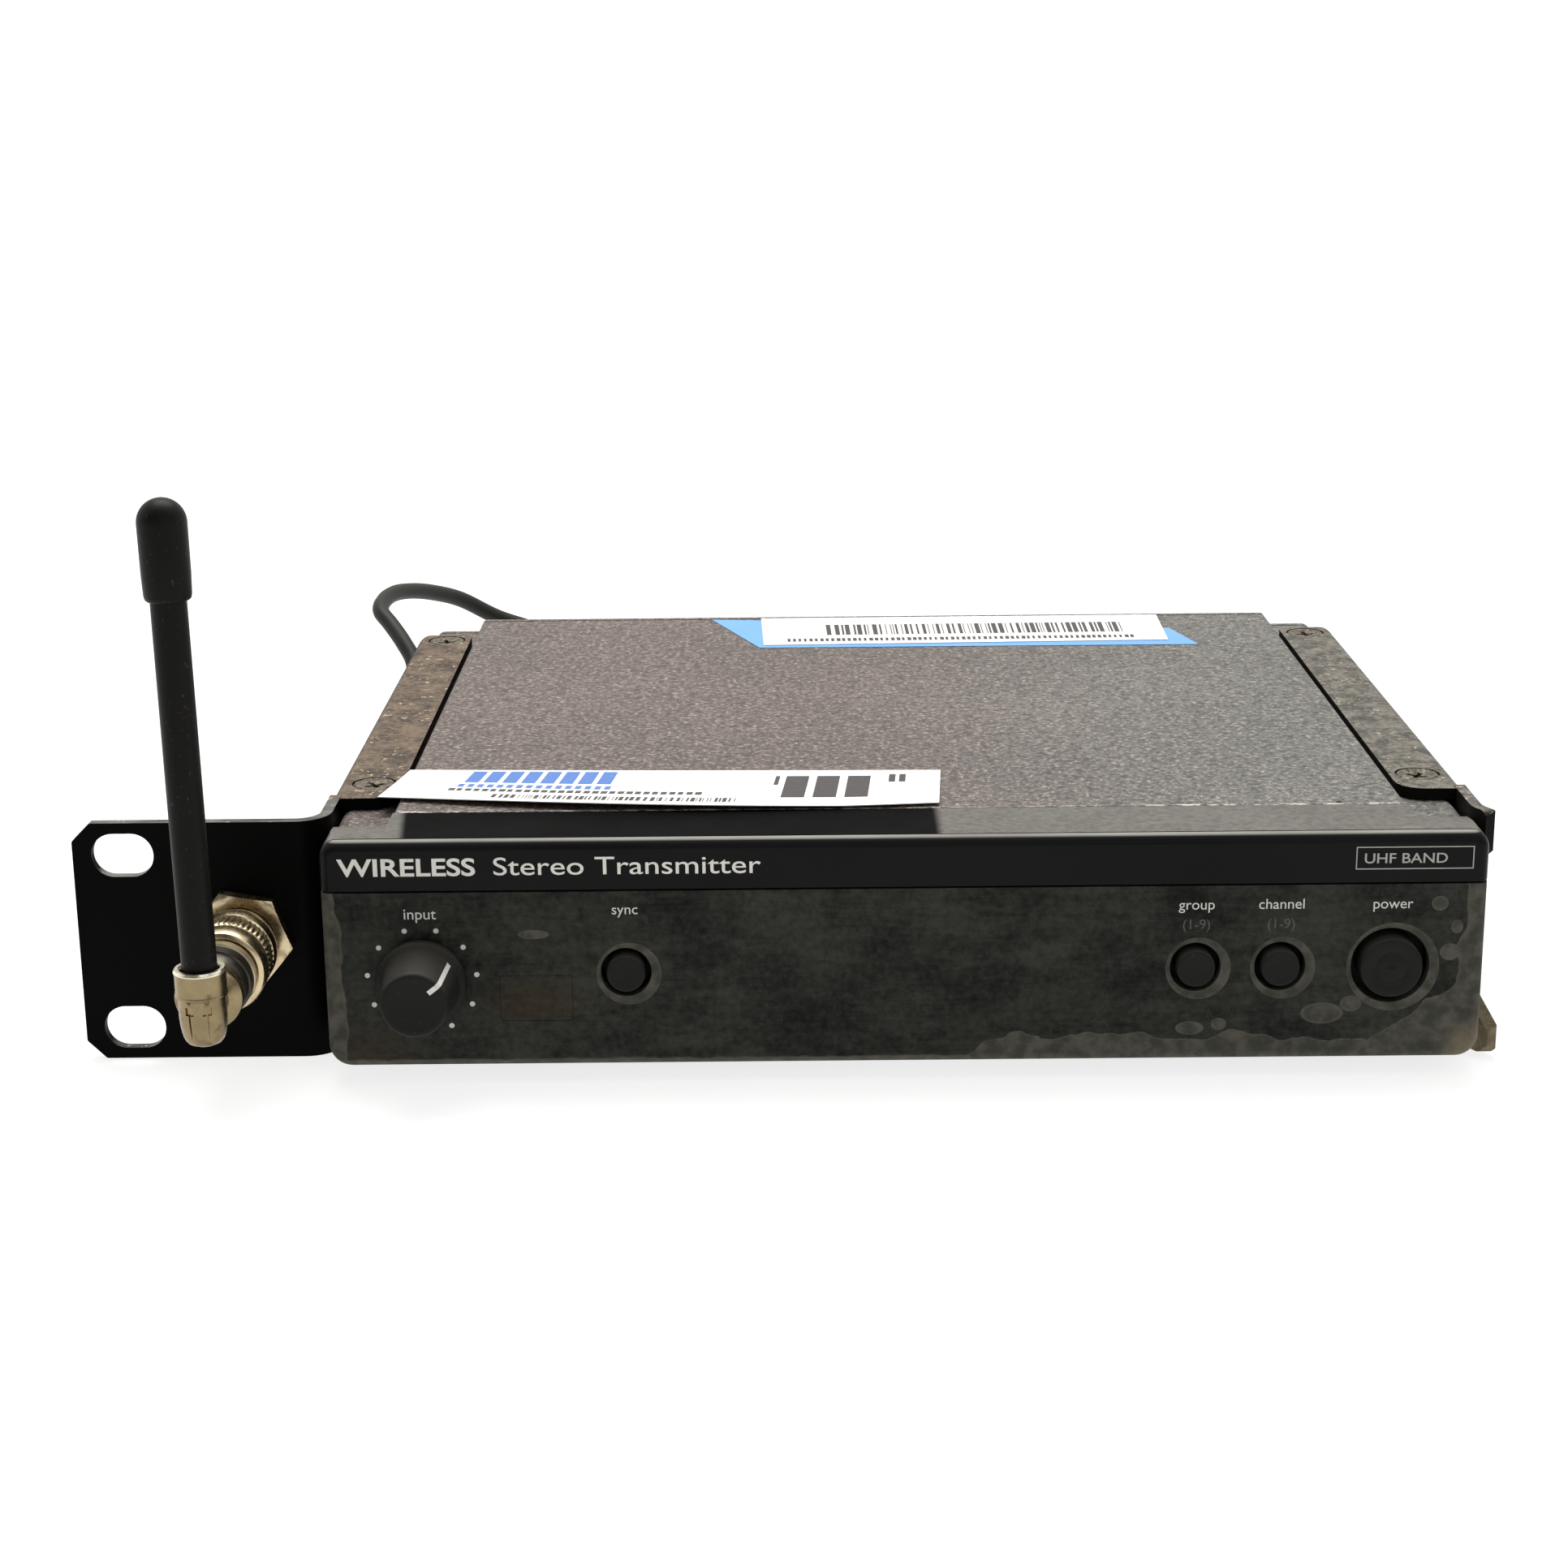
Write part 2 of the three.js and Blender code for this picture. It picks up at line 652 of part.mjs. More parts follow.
function makeControls() {
  const knobRear = frontY - knobStandoff;
  const knobFront = knobRear - knobLength;
  const boreEnd = knobFront + knobCapThickness;
  const skirt = knobRear - knobSkirt;
  const body = turnedY([
    [0, knobFront], [knobTipRadius - knobEdge, knobFront], [knobTipRadius, knobFront + knobEdge],
    [knobBaseRadius - knobFlare, skirt], [knobBaseRadius, skirt + knobFlareRise], [knobBaseRadius, knobRear],
    [shaftRadius + gap, knobRear], [shaftRadius + gap, boreEnd], [0, boreEnd],
  ], knobX, knobHeight, 24);
  const pointerX = knobTipRadius - pointerStart;
  const pointer = brick(pointerX, knobFront, 0, pointerLength, pointerDepth, pointerWidth);
  const turned = pointer.rotate([0, -pointerAngle, 0]).translate([knobX, 0, knobHeight]);
  place('input_knob', cut(body, turned), 'plastic');

  const potFront = bezelInner + gap;
  const shaftEnd = potFront + shaftIntoPot;
  place('input_shaft', rodY(shaftRadius, knobX, knobHeight, boreEnd + gap, shaftEnd, 20), 'tin');
  const potBody = brick(
    knobX, (potFront + boardFace) / 2, knobHeight,
    potentiometerSize, boardFace - potFront, potentiometerSize,
  );
  const potBore = rodY(shaftRadius + gap, knobX, knobHeight, potFront - overrun, shaftEnd + gap, 20);
  place('input_potentiometer', cut(potBody, potBore), 'tin');

  for (const b of pushButtons) {
    const front = frontY - b.proud;
    const flangeFront = bezelInner + gap;
    const flangeRear = flangeFront + flangeThickness;
    const stemEnd = flangeRear + buttonStemLength;
    const flange = b.hole + flangeOverlap;
    const stem = b.scale * buttonStemRadius;
    place(`${b.name}_button`, turnedY([
      [0, front], [b.radius - buttonEdge, front], [b.radius, front + buttonEdge], [b.radius, flangeFront],
      [flange, flangeFront], [flange, flangeRear], [stem, flangeRear], [stem, stemEnd], [0, stemEnd],
    ], b.x, buttonHeight), 'plastic');

    const plungerFront = stemEnd + b.travel + gap;
    const caseFront = plungerFront + plungerHeight;
    const size = b.scale * tactSize;
    const depth = boardFace - caseFront;
    const switchCase = brick(b.x, caseFront + depth / 2, buttonHeight, size, depth, size);
    const plunger = rodY(plungerRadius, b.x, buttonHeight, plungerFront, caseFront + depth / 2, 12);
    place(`${b.name}_switch`, join(switchCase, plunger), 'plastic');
  }
}

function makeBoards() {
  const control = block(
    -halfWidth + boardEdge, halfWidth - boardEdge, controlBoardY, controlBoardY + boardThickness,
    bezelWall + boardAboveWall, bodyHeight - bezelWall - boardBelowTop,
  );
  place('control_board', control, 'board');
  const displayZ = bodyHeight - bezelWall - gap - displayHeight / 2;
  const displayFront = bezelInner + gap;
  const display = brick(
    0, (displayFront + boardFace) / 2, displayZ, displayWidth, boardFace - displayFront, displayHeight,
  );
  place('display_module', display, 'gloss');

  const boardFront = controlBoardY + boardThickness + mainBoardFromControl;
  const boardRear = coverRear - mainBoardFromRear;
  const boardTop = mainBoardHeight + boardThickness;
  const half = halfWidth - mainBoardInset;
  place('main_board', block(-half, half, boardFront, boardRear, mainBoardHeight, boardTop), 'board');

  const shieldX = -half + shieldFromEdge;
  const shieldY = boardFront + shieldFromFront;
  const can = cut(
    block(
      shieldX, shieldX + shieldWidth, shieldY, shieldY + shieldDepth,
      boardTop + gap, boardTop + shieldHeight,
    ),
    block(
      shieldX + shieldWall, shieldX + shieldWidth - shieldWall, shieldY + shieldWall,
      shieldY + shieldDepth - shieldWall, boardTop - overrun, boardTop + shieldHeight - shieldWall,
    ),
  );
  place('radio_shield', can, 'tin');
}

// ---------------------------------------------------------------- brackets

// The channel that wraps the side of the housing, with rounded strip corners.
function bracketChannel(side) {
  const inner = side * (halfWidth - stripInset);
  const outer = side * plateOuter;
  const wall = side * plateInner;
  const bend = bracketBendRadius;
  const section = rounded([
    [inner, stripTopZ], [outer, stripTopZ, bend], [outer, stripBottomZ, bend], [inner, stripBottomZ],
    [inner, stripBottomZ + bracketThickness], [wall, stripBottomZ + bracketThickness],
    [wall, stripTopZ - bracketThickness], [inner, stripTopZ - bracketThickness],
  ]);
  const plan = rounded([
    [inner, stripFront, stripInnerCorner], [outer, stripFront], [outer, stripRear, stripRearCorner],
    [inner, stripRear, stripInnerCorner / 2],
  ]);
  const channel = drawn(section, stripFront, stripRear);
  return channel.intersect(raised(plan, stripBottomZ - overrun, stripTopZ + overrun));
}

function makeLongEar() {
  const bendX = -plateOuter - earBendInside;
  const bendY = earRearY + earBendInside;
  const plan = new THREE.Shape();
  plan.moveTo(-plateInner, stripFront + lap);
  plan.lineTo(-plateInner, bendY);
  plan.absarc(bendX, bendY, earBendInside + bracketThickness, 0, -Math.PI / 2, true);
  plan.lineTo(earEdgeX, earFrontY);
  plan.lineTo(earEdgeX, earRearY);
  plan.lineTo(bendX, earRearY);
  plan.absarc(bendX, bendY, earBendInside, -Math.PI / 2, 0, false);
  plan.lineTo(-plateOuter, stripFront + lap);
  plan.closePath();
  const top = earBottom + earHeight;
  const face = rounded([
    [earEdgeX, earBottom + earChamfer], [earEdgeX + earChamfer, earBottom], [-plateInner + lap, earBottom],
    [-plateInner + lap, top], [earEdgeX + earChamfer, top], [earEdgeX, top - earChamfer],
  ]);
  const slotX = earEdgeX + slotFromEdge;
  const slotRound = (slotHeight - slotFlat) / 2;
  const slots = [-1, 1].map((n) => {
    const z = earMidZ + n * slotSpacing / 2;
    const outline = rounded([
      [slotX - slotLength / 2, z - slotHeight / 2, slotRound],
      [slotX + slotLength / 2, z - slotHeight / 2, slotRound],
      [slotX + slotLength / 2, z + slotHeight / 2, slotRound],
      [slotX - slotLength / 2, z + slotHeight / 2, slotRound],
    ]);
    return drawn(outline, earFrontY - overrun, earRearY + overrun);
  });
  const kept = drawn(face, earFrontY - overrun, stripFront + lap + overrun);
  const ear = raised(plan, earBottom, top).intersect(kept);
  const hole = rodY(threadRadius + gap, adapterX, adapterHeight, earFrontY - overrun, earRearY + overrun);
  place('rack_ear_bracket', cut(join(bracketChannel(-1), ear), ...slots, hole, screwHoles), 'blackSteel');
}

// A forward tab of the right bracket that flares outward at its end.
function flaredTab(start, length, z0, z1, lowCorner, highCorner) {
  const turn = THREE.MathUtils.degToRad(tabTurn);
  const bendY = frontY + start;
  const centreX = plateOuter + tabBendRadius - bracketThickness / 2;
  const reach = tabBendRadius + bracketThickness / 2;
  const near = tabBendRadius - bracketThickness / 2;
  const along = [Math.sin(turn) * length, -Math.cos(turn) * length];
  const plan = new THREE.Shape();
  plan.moveTo(plateInner, stripFront + lap);
  plan.lineTo(plateInner, bendY);
  plan.absarc(centreX, bendY, reach, Math.PI, Math.PI + turn, false);
  const inside = [centreX - Math.cos(turn) * reach, bendY - Math.sin(turn) * reach];
  const outside = [centreX - Math.cos(turn) * near, bendY - Math.sin(turn) * near];
  plan.lineTo(inside[0] + along[0], inside[1] + along[1]);
  plan.lineTo(outside[0] + along[0], outside[1] + along[1]);
  plan.lineTo(outside[0], outside[1]);
  plan.absarc(centreX, bendY, near, Math.PI + turn, Math.PI, true);
  plan.lineTo(plateOuter, stripFront + lap);
  plan.closePath();
  const tipY = inside[1] + along[1];
  const webY = stripFront + lap + overrun;
  const side = rounded([
    [tipY, z0 + lowCorner[1]], [tipY + lowCorner[0], z0], [webY, z0],
    [webY, z1], [tipY + highCorner[0], z1], [tipY, z1 - highCorner[1]],
  ]);
  return raised(plan, z0, z1).intersect(across(side, plateInner - overrun, centreX + length));
}

function makeShortBracket() {
  const top = earBottom + earHeight;
  const frontEdge = frontY + topTabStart + webFromTab;
  const web = block(plateInner, plateOuter, frontEdge, stripFront + lap, earBottom + gap, top);
  const bracket = join(
    bracketChannel(1),
    web,
    flaredTab(
      topTabStart, topTabLength, top - topTabHeight, top, [topTabRise, topTabRise], [topTabTip, topTabTip],
    ),
    flaredTab(
      lowTabStart, lowTabLength, earBottom + gap, earBottom + lowTabHeight,
      [lowTabFoot, lowTabFoot], [lowTabFall, lowTabFall],
    ),
  );
  place('side_bracket', cut(bracket, screwHoles), 'bronzeSteel');
}

function makeScrews() {
  const counts = { top: 0, bottom: 0 };
  for (const s of screwPlaces) {
    counts[s.level] += 1;
    const recess = crossRecess(s.x, s.y, s.top, s.direction);
    const screw = cut(screwSolid(s.x, s.y, s.top, s.direction, 0), recess);
    place(`bracket_screw_${s.level}_${counts[s.level]}`, screw, 'bronzeSteel');
  }
}

// ---------------------------------------------------------------- coaxial fittings

function hexNut(x, z, y0, y1, turn, bore) {
  const circumradius = nutAcrossFlats / 2 / Math.cos(Math.PI / 6);
  const shape = new THREE.Shape();
  for (let k = 0; k < 6; k += 1) {
    const angle = THREE.MathUtils.degToRad(turn + 60 * k);
    const point = [x + circumradius * Math.cos(angle), z + circumradius * Math.sin(angle)];
    if (k === 0) shape.moveTo(...point);
    else shape.lineTo(...point);
  }
  shape.closePath();
  return cut(drawn(shape, y0, y1), rodY(bore, x, z, y0 - overrun, y1 + overrun));
}

// A bayonet ring around a barrel that ends at tip; direction is the way the plug leaves.
function couplingRing(x, z, tip, direction) {
  const open = tip - direction * (barrelLength - ringOverlap);
  const closed = tip + direction * ringClosed;
  const lip = tip + direction * ringLip;
  const bore = barrelRadius + gap;
  return turnedY([
    [bore, open], [ringRadius - ringEdge, open], [ringRadius, open + direction * ringEdge],
    [ringRadius, closed - direction * ringChamfer], [ringRadius - ringChamfer, closed],
    [neckRadius + gap, closed],
    [neckRadius + gap, lip], [bore, lip], [bore, open],
  ], x, z, 20);
}

// A cable plug: neck inside the ring, body, crimp sleeve.
function cablePlug(x, z, tip, direction) {
  const at = (d) => tip + direction * d;
  const bodyStart = ringClosed + gap;
  const bodyEnd = bodyStart + plugLength;
  const sleeveEnd = bodyEnd + sleeveLength;
  const plug = turnedY([
    [0, at(gap)], [neckRadius, at(gap)], [neckRadius, at(bodyStart)], [plugRadius, at(bodyStart)],
    [plugRadius, at(bodyEnd - plugEdge)], [sleeveRadius, at(bodyEnd)], [sleeveRadius, at(sleeveEnd)],
    [0, at(sleeveEnd)],
  ], x, z);
  return { plug, end: at(sleeveEnd) };
}

const adapterRearTip = adapterFlangeRear + barrelLength + barrelRoot;
const jackFront = rearY + gap + nutThickness + nutToBarrel;
const rearJackTip = jackFront + barrelLength;

function makeFittings() {
  const flange = nutAcrossFlats / 2;
  place('adapter_barrel', turnedY([
    [0, barrelFront], [barrelRadius, barrelFront], [barrelRadius, nutFront - threadEnd],
    [threadRadius, nutFront - threadEnd], [threadRadius, washerRear + gap], [flange, washerRear + gap],
    [flange, adapterFlangeRear], [barrelRadius, adapterFlangeRear], [barrelRadius, adapterRearTip],
    [0, adapterRearTip],
  ], adapterX, adapterHeight), 'nickel');
  const nutRear = earFrontY - gap;
  const bore = threadRadius + gap;
  place('adapter_nut', hexNut(adapterX, adapterHeight, nutFront, nutRear, nutTurn, bore), 'nickel');
  const washer = turnedY([
    [bore, earRearY + gap], [washerRadius, earRearY + gap], [washerRadius, washerRear], [bore, washerRear],
    [bore, earRearY + gap],
  ], adapterX, adapterHeight);
  place('adapter_washer', washer, 'nickel');
  place('antenna_coupling', couplingRing(adapterX, adapterHeight, barrelFront, -1), 'nickel');
  place('cable_ring_front', couplingRing(adapterX, adapterHeight, adapterRearTip, 1), 'nickel');
  place('cable_plug_front', cablePlug(adapterX, adapterHeight, adapterRearTip, 1).plug, 'darkMetal');

  const threadFront = jackFront - nutToBarrel + threadEnd;
  place('rear_antenna_jack', turnedY([
    [0, coverRear - jackInside], [threadRadius, coverRear - jackInside], [threadRadius, threadFront],
    [barrelRadius, threadFront], [barrelRadius, rearJackTip], [0, rearJackTip],
  ], rearJackX, socketHeight), 'nickel');
  const jackNutFront = rearY + gap;
  const jackNut = hexNut(
    rearJackX, socketHeight, jackNutFront, jackNutFront + nutThickness, rearNutTurn, bore,
  );
  place('rear_antenna_nut', jackNut, 'nickel');
  place('cable_ring_rear', couplingRing(rearJackX, socketHeight, rearJackTip, 1), 'nickel');
  place('cable_plug_rear', cablePlug(rearJackX, socketHeight, rearJackTip, 1).plug, 'darkMetal');
}

// ---------------------------------------------------------------- antenna

// Turned about the adapter's axis from upright to the whip's resting lean.
function leant(upright) {
  return upright.translate([-adapterX, 0, -adapterHeight]).rotate([0, -whipLean, 0])
    .translate([adapterX, 0, adapterHeight]);
}

function makeAntenna() {
  const collarRear = ringFront - gap;
  place('antenna_collar', turnedY([
    [0, barrelFront - gap], [neckRadius, barrelFront - gap], [neckRadius, collarRear],
    [collarRadius - collarEdge, collarRear], [collarRadius, collarRear - collarEdge],
    [collarRadius - 2 * collarEdge, collarFront],
    [0, collarFront],
  ], adapterX, adapterHeight), 'darkMetal');

  const at = (dz) => adapterHeight + dz;
  const boreFloor = at(-rodSeat);
  const cup = turnedZ([
    [0, at(-elbowBottom)], [elbowFootRadius - footFloor, at(-elbowBottom)],
    [elbowFootRadius - footCorner, at(-elbowBottom + footCorner)],
    [elbowFootRadius, at(-elbowBottom + footFloor)], [elbowFootRadius, at(elbowRidge)],
    [elbowCupRadius, at(elbowRidge)],
    [elbowCupRadius, at(elbowTop)], [0, at(elbowTop)],
  ], adapterX, whipY);
  const discRear = collarFront - gap;
  const discFront = discRear - elbowDiscThickness;
  const stemRadius = elbowDiscRadius - elbowStem;
  const disc = turnedY([
    [0, discRear], [elbowDiscRadius, discRear], [elbowDiscRadius, discFront],
    [stemRadius, discFront - elbowDiscBevel], [stemRadius, whipY], [0, whipY],
  ], adapterX, adapterHeight);
  const rodRoom = rodZ(rodRadius + gap, adapterX, whipY, boreFloor, at(elbowTop + overrun));
  place('antenna_elbow', leant(cut(join(cup, disc), rodRoom)), 'nickel');

  const capFloor = at(rodTop);
  const boreTop = capFloor + capBoreDepth;
  const capTop = capFloor + capLength;
  const rod = rodZ(rodRadius, adapterX, whipY, boreFloor + gap, boreTop - gap, 16);
  place('antenna_rod', leant(rod), 'rubber');
  const dome = [0, 1, 2, 3, 4].map((k) => {
    const angle = k * Math.PI / 8;
    return [capRadius * Math.cos(angle), capTop - capRadius + capRadius * Math.sin(angle)];
  });
  const bore = rodRadius + gap;
  const cap = turnedZ([
    [bore, capFloor], [capRadius - capDraft, capFloor], ...dome.slice(0, -1), [0, capTop], [0, boreTop],
    [bore, boreTop], [bore, capFloor],
  ], adapterX, whipY, 20);
  place('antenna_cap', leant(cap), 'rubber');
}

// ---------------------------------------------------------------- rear sockets

function leverSlot(y0, y1) {
  const length = leverWidth + leverTravel + 2 * gap;
  return block(
    leverX - length / 2, leverX + length / 2, y0, y1, socketHeight - leverHeight / 2 - gap,
    socketHeight + leverHeight / 2 + gap,
  );
}

function makeSockets() {
  const names = ['input_jack_right', 'input_jack_left', 'loop_jack_right', 'loop_jack_left'];
  const tip = rearY + bushLength;
  names.forEach((name, n) => {
    const x = jackXs[n];
    const shell = brick(x, coverRear - jackDepth / 2, socketHeight, jackWidth, jackDepth, jackHeight);
    const bush = rodY(bushRadius, x, socketHeight, coverRear - socketLap, tip, 16);
    const boreEnd = coverRear - jackDepth + socketFloor;
    const bore = rodY(jackBoreRadius, x, socketHeight, boreEnd, tip + overrun, 12);
    place(name, cut(join(shell, bush), bore), 'plastic');
  });

  const inletHousing = brick(
    inletX, coverRear - inletDepth / 2, socketHeight,
    2 * inletRadius, inletDepth, 2 * (inletRadius + inletHousingMargin),
  );
  const inletBody = join(
    inletHousing,
    rodY(inletRadius, inletX, socketHeight, coverRear - socketLap, rearY),
  );
  const inletFloor = coverRear - inletDepth + socketFloor;
  const recess = rodY(inletBoreRadius, inletX, socketHeight, inletFloor, rearY + overrun);
  const pin = rodY(inletPinRadius, inletX, socketHeight, inletFloor - overrun, rearY - overrun, 12);
  place('power_inlet', join(cut(inletBody, recess), pin), 'plastic');

  const body = brick(
    leverX, coverRear - switchDepth / 2, socketHeight, switchWidth, switchDepth, switchHeight,
  );
  const rootRoom = leverSlot(coverRear - leverRoot - gap, coverRear + overrun);
  place('level_switch', cut(body, rootRoom), 'plastic');
  const leverRear = coverRear - leverRoot;
  const lever = block(
    leverStart - leverWidth / 2, leverStart + leverWidth / 2, leverRear, rearY + leverProud,
    socketHeight - leverHeight / 2, socketHeight + leverHeight / 2,
  );
  place('level_switch_lever', lever, 'plastic');
}

// ---------------------------------------------------------------- coax jumper

// The jumper's loop behind the housing, as offsets from the rear plug's end.
const cableLoop = [
  [0, 6.3, 0.1],
  [-2, 12.5, 1.3],
  [-7.2, 17.6, 3.7],
  [-15, 19.7, 6.9],
  [-24.2, 18.3, 10.5],
  [-32.6, 12.9, 16.3],
  [-38.2, 5.9, 19.5],
  [-42.5, -1.7, 21.6],
  [-45.6, -8.7, 22.5],
  [-47.2, -15.1, 22.1],
  [-47.2, -20.7, 20.9],
  [-44.4, -24.8, 18.6],
  [-41.2, -29, 15.4],
];

// Its run along the left bracket: across from the adapter, share of the way back, up from the adapter.
const cableRun = [
  [10.8, 0.986, 11.5],
  [10.9, 0.925, 5.6],
  [10.9, 0.806, -0.4],
  [10.9, 0.693, -5],
  [10.8, 0.564, -8],
  [10.7, 0.435, -9.1],
  [10.4, 0.322, -9.5],
  [9.3, 0.233, -7.7],
  [6.6, 0.157, -4.5],
  [2.8, 0.096, -1.5],
  [0.4, 0.043, -0.2],
];

function makeCable() {
  const rearEnd = cablePlug(rearJackX, socketHeight, rearJackTip, 1).end + gap;
  const frontEnd = cablePlug(adapterX, adapterHeight, adapterRearTip, 1).end + gap;
  const loop = cableLoop.map(([dx, dy, dz]) => [rearJackX + dx, rearEnd + dy, socketHeight + dz]);
  const run = cableRun.map(([dx, share, dz]) => {
    return [adapterX + dx, THREE.MathUtils.lerp(frontEnd, rearY, share), adapterHeight + dz];
  });
  const points = [
    [rearJackX, rearEnd, socketHeight], ...loop, ...run, [adapterX, frontEnd, adapterHeight],
  ].map((p) => new THREE.Vector3(...p));
  const path = new THREE.CatmullRomCurve3(points, false, 'centripetal');
  const section = new THREE.Shape();
  for (let k = 0; k < cableSides; k += 1) {
    const angle = (2 * Math.PI * k) / cableSides;
    const point = [cableRadius * Math.cos(angle), cableRadius * Math.sin(angle)];
    if (k === 0) section.moveTo(...point);
    else section.lineTo(...point);
  }
  section.closePath();
  const tube = new THREE.ExtrudeGeometry(section, { steps: cableSteps, extrudePath: path });
  place('antenna_cable', solid(tube), 'jacket');
}

makeHousing();
makeFront();
makeControls();
makeBoards();
makeLongEar();
makeShortBracket();
makeScrews();
makeFittings();
makeAntenna();
makeSockets();
makeCable();

export default transmitter;
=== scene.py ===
import math
import random

import bmesh
import bpy
from mathutils import Matrix, Vector


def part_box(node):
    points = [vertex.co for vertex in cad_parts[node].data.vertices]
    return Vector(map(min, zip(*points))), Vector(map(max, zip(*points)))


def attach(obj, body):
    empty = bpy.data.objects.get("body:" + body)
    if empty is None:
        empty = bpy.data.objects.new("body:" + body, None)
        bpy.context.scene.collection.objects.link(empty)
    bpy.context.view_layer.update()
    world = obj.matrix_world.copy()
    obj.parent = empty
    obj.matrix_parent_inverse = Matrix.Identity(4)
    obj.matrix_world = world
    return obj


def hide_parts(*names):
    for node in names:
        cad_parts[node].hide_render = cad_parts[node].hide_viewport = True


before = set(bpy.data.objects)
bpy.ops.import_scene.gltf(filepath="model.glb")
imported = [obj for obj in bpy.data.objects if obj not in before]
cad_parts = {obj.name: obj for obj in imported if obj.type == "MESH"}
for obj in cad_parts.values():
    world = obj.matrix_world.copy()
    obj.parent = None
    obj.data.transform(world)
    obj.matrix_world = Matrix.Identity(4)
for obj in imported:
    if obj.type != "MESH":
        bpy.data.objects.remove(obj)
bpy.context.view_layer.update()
MM = 0.001
UP, DOWN = 1, -1


def box(node):
    """Lowest and highest corner of a CAD node in millimetres."""
    low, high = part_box(node)
    return [v / MM for v in low], [v / MM for v in high]


def middle(node):
    low, high = box(node)
    return [(a + b) / 2 for a, b in zip(low, high)]


# ---------------------------------------------------------------- camera

CAMERA_AT = Vector((-18.85, -542.25, 180.2)) * MM
YAW, PITCH, ROLL = (math.radians(a) for a in (-0.161, 15.903, -0.577))


def aim_camera():
    forward = Vector((
        math.sin(YAW) * math.cos(PITCH), math.cos(YAW) * math.cos(PITCH), -math.sin(PITCH),
    ))
    right = Vector((math.cos(YAW), -math.sin(YAW), 0))
    up = right.cross(forward)
    right_rolled = right * math.cos(ROLL) + up * math.sin(ROLL)
    up_rolled = up * math.cos(ROLL) - right * math.sin(ROLL)
    lens = bpy.data.cameras.new("camera")
    lens.lens, lens.sensor_width = 65.04, 36
    lens.clip_start, lens.clip_end = 0.01, 100
    camera = bpy.data.objects.new("camera", lens)
    bpy.context.scene.collection.objects.link(camera)
    turn = Matrix((right_rolled, up_rolled, -forward)).transposed().to_4x4()
    camera.matrix_world = Matrix.Translation(CAMERA_AT) @ turn
    bpy.context.scene.camera = camera


# ---------------------------------------------------------------- node graphs

def srgb(red, green, blue):
    """Linear colour of an 8-bit screen colour."""
    def linear(value):
        value /= 255
        return value / 12.92 if value <= 0.04045 else ((value + 0.055) / 1.055) ** 2.4
    return (linear(red), linear(green), linear(blue), 1)


class Num:
    """A number in a node graph, written with ordinary arithmetic."""

    def __init__(self, net, socket):
        self.net, self.socket = net, socket

    def __add__(self, other):
        return self.net.math("ADD", self, other)

    def __radd__(self, other):
        return self.net.math("ADD", other, self)

    def __sub__(self, other):
        return self.net.math("SUBTRACT", self, other)

    def __rsub__(self, other):
        return self.net.math("SUBTRACT", other, self)

    def __mul__(self, other):
        return self.net.math("MULTIPLY", self, other)

    def __rmul__(self, other):
        return self.net.math("MULTIPLY", other, self)

    def __truediv__(self, other):
        return self.net.math("DIVIDE", self, other)

    def __abs__(self):
        return self.net.math("ABSOLUTE", self)

    def most(self, other):
        return self.net.math("MAXIMUM", self, other)

    def step(self, low, high):
        """0 below low, 1 above high, smooth between; falls instead when low is above high."""
        node = self.net.node("ShaderNodeMapRange")
        node.interpolation_type = "SMOOTHSTEP"
        self.net.feed(node.inputs["Value"], self)
        rising = low < high
        node.inputs["From Min"].default_value = low if rising else high
        node.inputs["From Max"].default_value = high if rising else low
        node.inputs["To Min"].default_value = 0 if rising else 1
        node.inputs["To Max"].default_value = 1 if rising else 0
        return Num(self.net, node.outputs["Result"])


